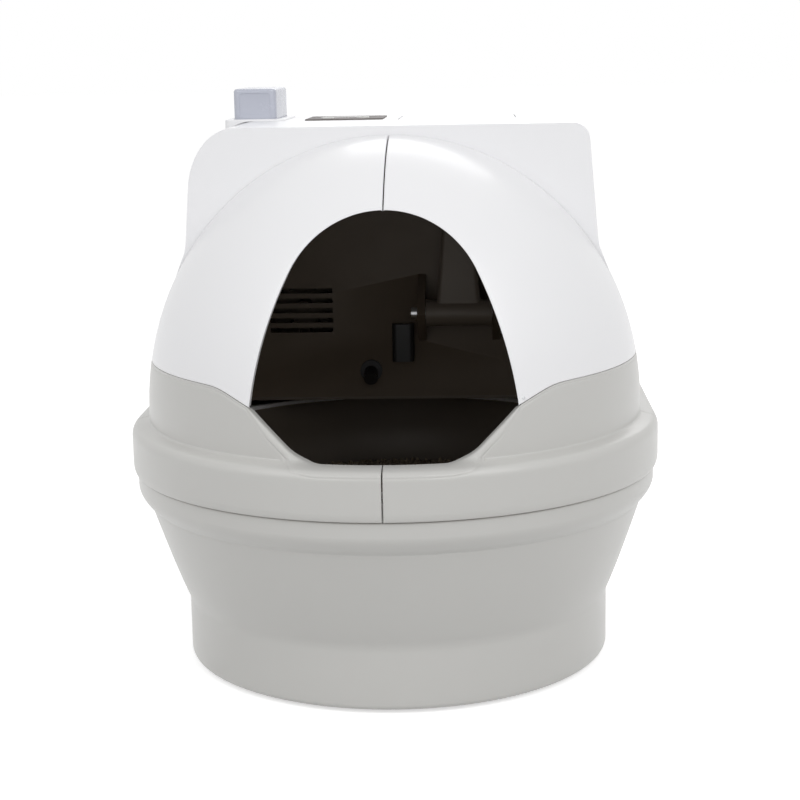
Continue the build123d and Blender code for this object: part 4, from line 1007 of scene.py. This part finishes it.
@dataclass
class Housing:
    """The process housing behind the hood, grey below and white above."""

    wall: float = 3.5
    left_shoulder: float = 38.0
    left_drop: float = 52.0
    right_shoulder: float = 14.0
    rear_shoulder: float = 26.0
    least_corner: float = 30.0
    ledge: float = 5.0
    spigot_inset: float = 5.6
    spigot_top: float = 197.5
    spout_height: float = 262.0
    spouts: tuple[Pair, ...] = ((62.0, 16.4), (-62.0, 15.4), (0.0, 11.4))

    def outline(self, z: float, wall: float) -> Array:
        """The closed plan of the housing at a height, starting at its front left corner."""
        top = FORM.housing_top - wall
        inset = float(FORM.inset(np.array([min(z, FORM.housing_top)]), housing=True)[0]) + wall

        def shoulder(width: float, height: float) -> float:
            width, height = width - wall, height - wall
            over = min(max(z - (top - height), 0.0), height) / height
            return width * (1 - math.sqrt(1 - over**2))

        left = shoulder(self.left_shoulder, self.left_drop)
        right = shoulder(self.right_shoulder, self.right_shoulder)
        rear = shoulder(self.rear_shoulder, self.rear_shoulder)
        radius = FORM.rim - inset
        back = FORM.rear_y - inset - rear
        corner = max(FORM.rear_corner - inset, self.least_corner)
        front = FORM.housing_front + wall

        def edge(y: float) -> float:
            return math.sqrt(radius**2 - (y - FORM.bowl_y) ** 2) if y < FORM.bowl_y else radius

        depths = [front + s * (back - corner - front) for s in np.linspace(0, 1, 24)]
        points = [(-edge(y) + left, y) for y in depths]
        centre = (-(radius - left) + corner, back - corner)
        points += arc_points(centre, corner, 180, 90)
        centre_right = ((radius - right) - corner, back - corner)
        points += [(x, back) for x in np.linspace(centre[0], centre_right[0], 24)[1:]]
        points += arc_points(centre_right, corner, 90, 0)
        points += [(edge(y) - right, y) for y in depths[::-1][1:]]
        return np.array(points)

    def block(self, name: str, heights: Sequence[float], wall: float) -> bpy.types.Object:
        """A closed solid of the housing between heights."""
        draft = Draft()
        draft.solid(stacked([self.outline(z, wall) for z in heights], heights))
        return draft.build(name, [WHITE if heights[-1] > FORM.two_tone + 10.0 else GREY])

    def doorway(self) -> bpy.types.Object:
        """The opening in the front wall, which follows the inside of the dome."""
        half, rise = FORM.dome_radius - self.ledge, FORM.dome_height - self.ledge
        turns = np.radians(np.linspace(0, 180, 73))
        points = [(half * math.cos(t), FORM.dome_base + rise * math.sin(t)) for t in turns]
        points += [(-half, 150.0), (half, 150.0)]
        front = FORM.housing_front
        return prism("doorway", np.array(points), front - self.ledge, front + 2.2 * self.wall, 1)

    def build(self) -> None:
        """Make both halves of the housing."""
        seat, split, top = FORM.seat, FORM.two_tone, FORM.housing_top
        low = spread((191.5, 213.0, 8), (214.0, 230.0, 36), (233.0, split - 0.9, 20))
        low = np.concatenate((seat + np.array((0, 0.4, 1.5, 4, 8)), low, [split - 0.3]))
        lower = self.block("grey_housing", low, 0.0)
        cut(lower, self.block("inner", np.concatenate(([170.0], low[:-1], [split + 2])), self.wall))
        cut(lower, self.doorway())
        cut(lower, prism("spigot", FORM.plan(self.spigot_inset), 100.0, self.spigot_top))
        for x, radius in self.spouts:
            cut(lower, prism("hole", ring((x, self.spout_height), radius, 40), 270.0, 320.0, 1))
        tidy_mesh(lower.data, 34.0)
        attach(lower, "base", "grey_shell", "lower_housing")
        near_top = [top - self.left_drop * (1 - math.sin(a)) for a in np.radians(np.linspace(2, 90, 24))]
        high = spread((286.0, 350.0, 18), (353.0, 395.0, 22), (400.0, 437.0, 9))
        high = np.concatenate(([split + 0.3, split + 0.9], high, near_top))
        upper = self.block("white_housing", high, 0.0)
        inner_top = [z - self.wall for z in near_top]
        inner = spread((286.0, 350.0, 10), (353.0, 395.0, 14), (400.0, 433.0, 7))
        inner = np.concatenate(([split - 2.0], inner, inner_top))
        cut(upper, self.block("inner", inner, self.wall))
        cut(upper, self.doorway())
        for centre, size, bottom, corner in TOP.cuts():
            outline = rounded_rectangle(centre, size, corner, 4)
            cut(upper, prism("cutter", outline, bottom, TOP.above))
        tidy_mesh(upper.data, 34.0)
        attach(upper, "base", "white_shell", "upper_housing")
        self.fascia(np.concatenate((low[:-1], high, inner_top[-1:])))

    def fascia(self, heights: Array) -> None:
        """The inner fascia, trimmed to the housing's softened inside."""
        levels = np.unique(heights[heights < FORM.housing_top - self.wall - 0.2])
        limit = self.block("limit", levels, self.wall + 0.2)
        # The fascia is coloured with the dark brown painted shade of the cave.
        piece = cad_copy("inner_fascia", "cave_fascia", CAVE_SHADE)
        cut(piece, limit, "INTERSECT")
        tidy_mesh(piece.data, 30.0)
        paint(piece, CAVE_SHADE)
        piece.data.polygons.foreach_set("material_index", [0] * len(piece.data.polygons))
        attach(piece, "base", "dark_inner", "inner_fascia")


# Fittings on the top


def paint(piece: bpy.types.Object, finish: Finish) -> bpy.types.Object:
    """Give a piece one finish in place of those that it has."""
    piece.data.materials.clear()
    piece.data.materials.append(finish.material())
    return piece


def middle(low: Sequence[float], high: Sequence[float]) -> Pair:
    """The middle of a box in plan."""
    return ((low[0] + high[0]) / 2, (low[1] + high[1]) / 2)


@dataclass
class TopFittings:
    """Cartridge in its dock, control strip with window and keys, and the hatch."""

    cartridge_low: float = 428.0
    cartridge_top: float = 522.0
    key_hole: float = 7.1
    lid_thickness: float = 3.0
    barrel: float = 3.5

    def build(self) -> None:
        """Make the pieces in order."""
        self.make_cartridge()
        self.make_dock()
        self.make_panel()
        self.make_hatch()

    def make_cartridge(self) -> None:
        """The solution cartridge: a rounded box with a shallow panel in its front."""
        outline = rounded_rectangle(TOP.cartridge, TOP.cartridge_size, 6.0)
        body = paint(prism("solution_cartridge", outline, self.cartridge_low, self.cartridge_top), BOTTLE)
        soften(body, 3.2, 4)
        front = TOP.cartridge[1] - TOP.cartridge_size[1] / 2
        face = rounded_rectangle((TOP.cartridge[0], self.cartridge_top - 15.0), (31.0, 21.0), 3.0)
        cut(body, prism("panel", face, front - 5.0, front + 0.5, 1))
        attach(soften(body, 0.25, 2, 50.0), "cartridge", "cartridge", "cartridge_shell")

    @staticmethod
    def make_dock() -> None:
        """The collar round the cartridge: the CAD dock with its edges rounded."""
        low, high = (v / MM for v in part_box("cartridge_dock"))
        piece = soften(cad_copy("cartridge_dock", "dock_0", WHITE), 0.8)
        attach(piece, "base", "white_shell", "cartridge_dock")
        LOG.info("dock spans %.1f to %.1f mm", low[2], high[2])

    def make_panel(self) -> None:
        """The control strip, its smoked window and the two keys."""
        low, high = (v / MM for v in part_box("control_panel"))
        outline = rounded_rectangle(TOP.panel, TOP.panel_size, TOP.panel_corner)
        plate = prism("control_strip_plate", outline, low[2], high[2])
        pane_low, pane_high = (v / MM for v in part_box("display_window"))
        centre = middle(pane_low, pane_high)
        pane_size = (pane_high[0] - pane_low[0], pane_high[1] - pane_low[1])
        hole = rounded_rectangle(centre, (pane_size[0] + 0.4, pane_size[1] + 0.4), 1.5)
        cut(plate, prism("cut", hole, TOP.below, TOP.above))
        for node in ("start_button", "lock_button"):
            key_low, key_high = (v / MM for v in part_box(node))
            hole = ring(middle(key_low, key_high), self.key_hole, 48)
            cut(plate, prism("cut", hole, TOP.below, TOP.above))
        attach(soften(paint(plate, STRIP), 0.5), "base", "strip", "control_panel")
        outline = rounded_rectangle(centre, pane_size, 1.4)
        pane = paint(prism("window_pane", outline, pane_low[2], pane_high[2]), SMOKED)
        attach(soften(pane, 0.3, 4), "base", "window", "display_window")
        for node, body in (("start_button", "start_key"), ("lock_button", "lock_key")):
            attach(self.key(node), body, "button", node)

    @staticmethod
    def key(node: str) -> bpy.types.Object:
        """A round key with a shallow dish in its top."""
        low, high = (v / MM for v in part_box(node))
        radius, top = (high[0] - low[0]) / 2, high[2]
        profile = [(radius, low[2]), (radius, top - 0.9), (radius - 0.25, top - 0.35), (radius - 0.9, top)]
        profile += [(radius * 0.6, top - 0.25), (0.0, top - 0.5), (0.0, low[2])]
        return turned(f"{node}_cap", middle(low, high), profile, KEY, closed=True)

    def make_hatch(self) -> None:
        """The hatch lid: a rounded plate with a finger notch and its barrel."""
        low, high = (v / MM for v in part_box("hopper_lid"))
        radius = self.barrel
        barrel_y, barrel_z = high[1] - radius, high[2] - radius
        centre = ((low[0] + high[0]) / 2, (low[1] + barrel_y) / 2)
        outline = rounded_rectangle(centre, (high[0] - low[0], barrel_y - low[1]), 4.0)
        lid = prism("hatch_plate", outline, high[2] - self.lid_thickness, high[2])
        scoop = rounded_rectangle((centre[0], low[1] + 9.0), (26.0, 9.0), 4.4)
        cut(lid, prism("cut", scoop, high[2] - 1.4, high[2] + 5.0))
        attach(soften(paint(lid, WHITE), 0.6), "hatch", "white_shell", "hopper_lid")
        near = [(low[0], 1.6), (low[0], 3.1), (low[0] + 0.4, radius)]
        far = [(high[0] - 0.4, radius), (high[0], 3.1), (high[0], 1.6)]
        profile = near + far + near[:1]
        rows = [np.insert(ring((barrel_y, barrel_z), r, 32), 0, x, axis=1) for x, r in profile]
        draft = Draft()
        draft.grid(np.array(rows), wrap=True)
        attach(draft.build("hatch_barrel", [WHITE], 40.0), "hatch", "white_shell")


def turned(
    name: str, centre: Pair, profile: Sequence[Pair], finish: Finish, steps: int = 48, closed: bool = False
) -> bpy.types.Object:
    """Turn a profile about an upright axis.

    Args:
        name: Object name.
        centre: The axis, as x and y.
        profile: Points of radius and height.
        finish: Its finish.
        steps: Number of points round the axis.
        closed: Whether the last point joins the first.

    Returns:
        The new object.
    """
    profile = list(profile) + list(profile[:1]) if closed else profile
    draft = Draft()
    draft.grid(stacked([ring(centre, r, steps) for r, _ in profile], [z for _, z in profile]), wrap=True)
    return draft.build(name, [finish], 40.0)


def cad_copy(node: str, name: str, finish: Finish) -> bpy.types.Object:
    """A merged copy of a CAD node's mesh, ready to be worked on."""
    mesh = bpy.data.objects[node].data.copy()
    mesh.name = name
    work = bmesh.new()
    work.from_mesh(mesh)
    bmesh.ops.remove_doubles(work, verts=work.verts, dist=0.01 * MM)
    bmesh.ops.dissolve_limit(work, angle_limit=math.radians(1.0), verts=work.verts, edges=work.edges)
    work.to_mesh(mesh)
    work.free()
    return paint(place(name, mesh), finish)


# Patterned pieces


class PatternTree:
    """A Geometry Nodes tree with named inputs, turned to plain mesh when it is done."""

    def __init__(self, name: str) -> None:
        """Start an empty tree with one geometry output."""
        self.tree = bpy.data.node_groups.new(name, "GeometryNodeTree")
        self.graph = Graph(self.tree)
        self.tree.interface.new_socket("Geometry", in_out="OUTPUT", socket_type="NodeSocketGeometry")
        self.sizes: dict[str, float] = {}

    def size(self, name: str, value: float) -> None:
        """Declare a named input with its value."""
        self.tree.interface.new_socket(name, in_out="INPUT", socket_type="NodeSocketFloat")
        self.sizes[name] = value

    def inputs(self) -> dict[str, Wire]:
        """The group input's sockets by name."""
        made = self.graph.node("NodeGroupInput")
        return {s.name: self.graph.number(s) for s in made.outputs if s.name}

    def finish(
        self, name: str, geometry: bpy.types.NodeSocket, finish: Finish, sharp: float
    ) -> bpy.types.Object:
        """End the tree and bake it.

        Args:
            name: The piece's name.
            geometry: What the tree has made so far.
            finish: The piece's finish.
            sharp: Angle in degrees above which an edge stays sharp.

        Returns:
            A plain mesh object.
        """
        real = self.graph.node("GeometryNodeRealizeInstances", Geometry=geometry)
        dressed = self.graph.node("GeometryNodeSetMaterial", Geometry=real.outputs[0])
        dressed.inputs["Material"].default_value = finish.material()
        end = self.graph.node("NodeGroupOutput")
        self.tree.links.new(dressed.outputs[0], end.inputs[0])
        piece = place(name, bpy.data.meshes.new(name))
        modifier = piece.modifiers.new("pattern", "NODES")
        modifier.node_group = self.tree
        for item in self.tree.interface.items_tree:
            if item.item_type == "SOCKET" and item.in_out == "INPUT":
                modifier[item.identifier] = self.sizes[item.name]
        return bake(piece, sharp)


@dataclass
class WashBowl:
    """The turning bowl: a flat floor, a round bend and an upright side, with a rolled rim."""

    floor: float = 102.0
    flat: float = 150.0
    bend: float = 66.0
    side: float = 28.0
    rim: float = 222.0
    top: float = 200.0
    wall: float = 3.0
    litter_top: float = 136.0

    def build(self) -> None:
        """Make the bowl from its rule, then its granules."""
        pattern = PatternTree("bowl_rule")
        for name in ("floor", "flat", "bend", "wall", "side"):
            pattern.size(name.capitalize(), getattr(self, name) * MM)
        graph = pattern.graph
        given = pattern.inputs()
        sheets = []
        for inner in (0.0, 1.0):
            grid = graph.node("GeometryNodeMeshGrid", Size_X=1.0, Size_Y=1.0, Vertices_X=129, Vertices_Y=60)
            here = graph.node("GeometryNodeInputPosition").outputs[0]
            spot = graph.node("ShaderNodeSeparateXYZ", Vector=here)
            angle = (graph.number(spot.outputs["X"]) + 0.5) * (2 * math.pi)
            share = graph.number(spot.outputs["Y"]) + 0.5
            round_radius = given["Bend"] - given["Wall"] * inner
            arc = given["Bend"] * (math.pi / 2)
            along = share * (given["Flat"] + arc + given["Side"])
            turn = ((along - given["Flat"]) / given["Bend"]).clamp(0.0, math.pi / 2)
            straight = (along - given["Flat"] - arc).clamp(0.0, 1.0)
            radius = along.clamp(0.0, given["Flat"]) + round_radius * turn.sin()
            height = given["Floor"] + given["Wall"] * inner + round_radius * (1.0 - turn.cos()) + straight
            across, along_y = radius * angle.sin(), radius * angle.cos() + FORM.bowl_y * MM
            at = graph.node("ShaderNodeCombineXYZ", X=across, Y=along_y, Z=height).outputs[0]
            bent = graph.node("GeometryNodeSetPosition", Geometry=grid.outputs["Mesh"], Position=at)
            sheets.append(bent.outputs[0])
        joined = graph.node("GeometryNodeJoinGeometry", Geometry=sheets)
        bowl = pattern.finish("wash_bowl_dish", joined.outputs[0], BOWL, 34.0)
        outside, top, rim = self.flat + self.bend, self.top, self.rim
        inside = outside - self.wall
        profile = [(inside, top - 4.0), (inside, top - 0.8), (inside + 0.8, top), (rim - 1.4, top)]
        profile += [(rim - 0.4, top - 0.6), (rim, top - 1.6), (rim, top - 4.0), (outside, top - 4.0)]
        join(bowl, turned("rim", (0.0, FORM.bowl_y), profile, BOWL, 128))
        profile = [(20.0, self.floor), (20.0, 76.0), (26.0, 76.0), (27.0, 77.0), (27.0, self.floor)]
        join(bowl, turned("hub", (0.0, FORM.bowl_y), profile, BOWL, 64, closed=True))
        tidy_mesh(bowl.data, 34.0)
        attach(bowl, "bowl", "grey_bowl", "wash_bowl")
        self.granules()

    def granules(self) -> None:
        """A bed of small uneven granules over a level base."""
        reach, floor, top = 196.0, self.floor, self.litter_top
        profile = [(0.0, floor + 3.4), (self.flat, floor + 3.4), (176.0, floor + 9.0)]
        profile += [(190.0, floor + 20.0)]
        profile += [(reach, top - 4.5), (reach - 20, top - 2.6), (120.0, top - 3.2)]
        profile += [(70.0, top - 2.4), (30.0, top - 3.0), (0.0, top - 2.6)]
        bed = turned("granule_bed", (0.0, FORM.bowl_y), profile, GRANULE, 96)
        pattern = PatternTree("granule_scatter")
        pattern.size("Bed radius", reach * MM - 0.004)
        pattern.size("Granule size", 2.7 * MM)
        graph = pattern.graph
        given = pattern.inputs()
        disc = graph.node(
            "GeometryNodeMeshCircle", {"fill_type": "NGON"}, Vertices=64, Radius=given["Bed radius"]
        )
        spots = graph.node(
            "GeometryNodeDistributePointsOnFaces", {"distribute_method": "POISSON"},
            Mesh=disc.outputs[0], Distance_Min=0.0042, Density_Max=60000.0, Seed=7,
        )
        scatter = "FunctionNodeRandomValue"
        lift = graph.node(scatter, {"data_type": "FLOAT"}, Min=-0.0034, Max=-0.0016, Seed=3)
        height = graph.number(lift.outputs[1]) + top * MM
        base = graph.node("ShaderNodeCombineXYZ", X=0.0, Y=FORM.bowl_y * MM, Z=height).outputs[0]
        moved = graph.node("GeometryNodeSetPosition", Geometry=spots.outputs["Points"], Offset=base)
        stone = graph.node("GeometryNodeMeshIcoSphere", Radius=given["Granule size"], Subdivisions=1)
        vector = {"data_type": "FLOAT_VECTOR"}
        turn = graph.node(scatter, vector, Max=(6.28, 6.28, 6.28), Seed=5)
        size = graph.node(scatter, vector, Min=(0.6, 0.6, 0.45), Max=(1.15, 1.0, 0.8), Seed=9)
        laid = graph.node(
            "GeometryNodeInstanceOnPoints", Points=moved.outputs[0], Instance=stone.outputs[0],
            Rotation=turn.outputs[0], Scale=size.outputs[0],
        )
        grains = pattern.finish("litter_grains", laid.outputs[0], GRANULE, 60.0)
        attach(bed, "bowl", "granules", "litter_granules")
        attach(grains, "bowl", "granules")


def join(target: bpy.types.Object, other: bpy.types.Object) -> None:
    """Add another object's mesh to a piece and remove the other object."""
    work = bmesh.new()
    work.from_mesh(target.data)
    work.from_mesh(other.data)
    work.to_mesh(target.data)
    work.free()
    bpy.data.objects.remove(other)


@dataclass
class FixingHead:
    """The small domed fixing head beside the opening, where white meets grey."""

    radius: float = 1.6
    stand: float = 0.55
    spot: Pair = (115.4, 273.6)

    def build(self) -> None:
        """Set the head into the right white tip."""
        pattern = PatternTree("fixing_head_rule")
        pattern.size("Head radius", self.radius * MM)
        pattern.size("Stand", self.stand * MM)
        graph = pattern.graph
        given = pattern.inputs()
        ball = graph.node("GeometryNodeMeshUVSphere", Segments=24, Rings=12, Radius=given["Head radius"])
        flat = graph.node("ShaderNodeCombineXYZ", X=1.0, Y=1.0, Z=given["Stand"] / given["Head radius"])
        radius = float(FORM.rim - FORM.dome_inset(np.array([self.spot[1]]))[0])
        y = FORM.bowl_y - math.sqrt(radius**2 - self.spot[0] ** 2)
        centre = np.array((self.spot[0], y, self.spot[1]))
        normal = Vector(FORM.dome_normal(centre))
        turn = normal.to_track_quat("Z", "Y").to_euler()
        points = graph.node("GeometryNodePoints", Count=1, Position=tuple(centre * MM))
        laid = graph.node(
            "GeometryNodeInstanceOnPoints", Points=points.outputs[0], Instance=ball.outputs[0],
            Rotation=tuple(turn), Scale=flat.outputs[0],
        )
        attach(pattern.finish("fixing_head_right", laid.outputs[0], STEEL, 60.0), "hood_right", "steel")


# Scene


def dress_nodes(frame: dict) -> None:
    """Give every CAD node that still shows the finish of its slot."""
    slot_of = {row["node"]: row["material_slot"] for row in frame["record"].get("subparts", [])}
    for name, node in frame["nodes"].items():
        if node.hide_render:
            continue
        finish = SLOT_FINISH.get(slot_of.get(name, ""), GREY)
        node.data.materials.clear()
        node.data.materials.append(finish.material())


FLOOR_HALF = 30.0
FLOOR_GLOW = 0.62
SOFT_LIGHT = 0.58


def seen_by_eye(graph: Graph) -> Wire:
    """One for rays from the camera, mirrors and glass, and nought for soft light."""
    rays = graph.node("ShaderNodeLightPath")
    kinds = ("Is Camera Ray", "Is Glossy Ray", "Is Transmission Ray")
    first, second, third = (graph.number(rays.outputs[kind]) for kind in kinds)
    return (first + second + third).clamp(0.0, 1.0)


@dataclass
class Studio:
    """Floor, lamps, world and the camera at the photograph's place."""

    camera: tuple[float, float, float] = (0.0775, -1.665, 0.549)
    pitch: float = 11.11
    yaw: float = 2.6
    roll: float = 1.05
    lens: float = 78.21

    def build(self) -> None:
        """Set the stage."""
        scene = bpy.context.scene
        scene.view_settings.view_transform = "Standard"
        self.make_camera(scene)
        self.make_world(scene)
        self.make_floor()
        self.lamp("key", spot=(1.5, -1.9, 2.1), aim=(0.0, -0.1, 0.3), size=1.8, power=25.0)
        self.lamp("fill", spot=(-1.7, -1.8, 2.0), aim=(0.0, -0.1, 0.3), size=1.8, power=17.0)
        self.lamp("rim", spot=(0.3, 2.1, 1.7), aim=(0.0, 0.1, 0.35), size=1.6, power=12.0)

    def make_camera(self, scene: bpy.types.Scene) -> None:
        """Camera where the photograph was taken from."""
        data = bpy.data.cameras.new("photo_camera")
        data.sensor_width, data.lens = 36.0, self.lens
        data.clip_start, data.clip_end = 0.05, 60.0
        camera = bpy.data.objects.new("photo_camera", data)
        scene.collection.objects.link(camera)
        yaw, pitch = math.radians(self.yaw), math.radians(self.pitch)
        look = Vector((-math.sin(yaw) * math.cos(pitch), math.cos(yaw) * math.cos(pitch), -math.sin(pitch)))
        base = look.to_track_quat("-Z", "Y").to_matrix().to_4x4()
        roll = Matrix.Rotation(math.radians(-self.roll), 4, "Z")
        camera.matrix_world = Matrix.Translation(self.camera) @ base @ roll
        scene.camera = camera

    def make_world(self, scene: bpy.types.Scene) -> None:
        """White for the camera and reflections, a softer white as light."""
        world = bpy.data.worlds.new("studio")
        world.use_nodes = True
        graph = Graph(world.node_tree)
        strength = seen_by_eye(graph) * (1.0 - SOFT_LIGHT) + SOFT_LIGHT
        glow = graph.node("ShaderNodeBackground", Color=(1.0, 1.0, 1.0, 1.0), Strength=strength)
        end = graph.node("ShaderNodeOutputWorld")
        graph.tree.links.new(glow.outputs[0], end.inputs["Surface"])
        scene.world = world

    def make_floor(self) -> None:
        """A plain pale floor."""
        mesh = bpy.data.meshes.new("floor")
        corners = [(x * FLOOR_HALF, y * FLOOR_HALF, 0) for x, y in ((-1, -1), (1, -1), (1, 1), (-1, 1))]
        mesh.from_pydata(corners, [], [(0, 1, 2, 3)])
        floor = place("floor", mesh)
        made = bpy.data.materials.new("floor_paper")
        made.use_nodes = True
        graph = Graph(made.node_tree)
        shader = graph.node("ShaderNodeBsdfDiffuse", Color=(0.70, 0.70, 0.70, 1.0))
        strength = seen_by_eye(graph) * FLOOR_GLOW
        glow = graph.node("ShaderNodeEmission", Color=(1.0, 1.0, 1.0, 1.0), Strength=strength)
        both = graph.node("ShaderNodeAddShader")
        graph.tree.links.new(shader.outputs[0], both.inputs[0])
        graph.tree.links.new(glow.outputs[0], both.inputs[1])
        end = graph.node("ShaderNodeOutputMaterial")
        graph.tree.links.new(both.outputs[0], end.inputs["Surface"])
        mesh.materials.append(made)

    @staticmethod
    def lamp(name: str, spot: Sequence[float], aim: Sequence[float], size: float, power: float) -> None:
        """Add one soft square lamp that faces a point."""
        data = bpy.data.lights.new(name, "AREA")
        data.shape, data.size, data.energy = "SQUARE", size, power
        made = bpy.data.objects.new(name, data)
        bpy.context.scene.collection.objects.link(made)
        made.location = spot
        made.rotation_euler = (Vector(aim) - Vector(spot)).to_track_quat("-Z", "Y").to_euler()


def main() -> None:
    """Build the pieces round the frame in order."""
    logging.basicConfig(level=logging.INFO, format="%(name)s: %(message)s")
    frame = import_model()
    Studio().build()
    makers: list[Callable[[], None]] = [
        Tub().build,
        Housing().build,
        Hood().build,
        TopFittings().build,
        WashBowl().build,
        FixingHead().build,
    ]
    for maker in makers:
        maker()
    dress_nodes(frame)


if __name__ == "__main__":
    main()
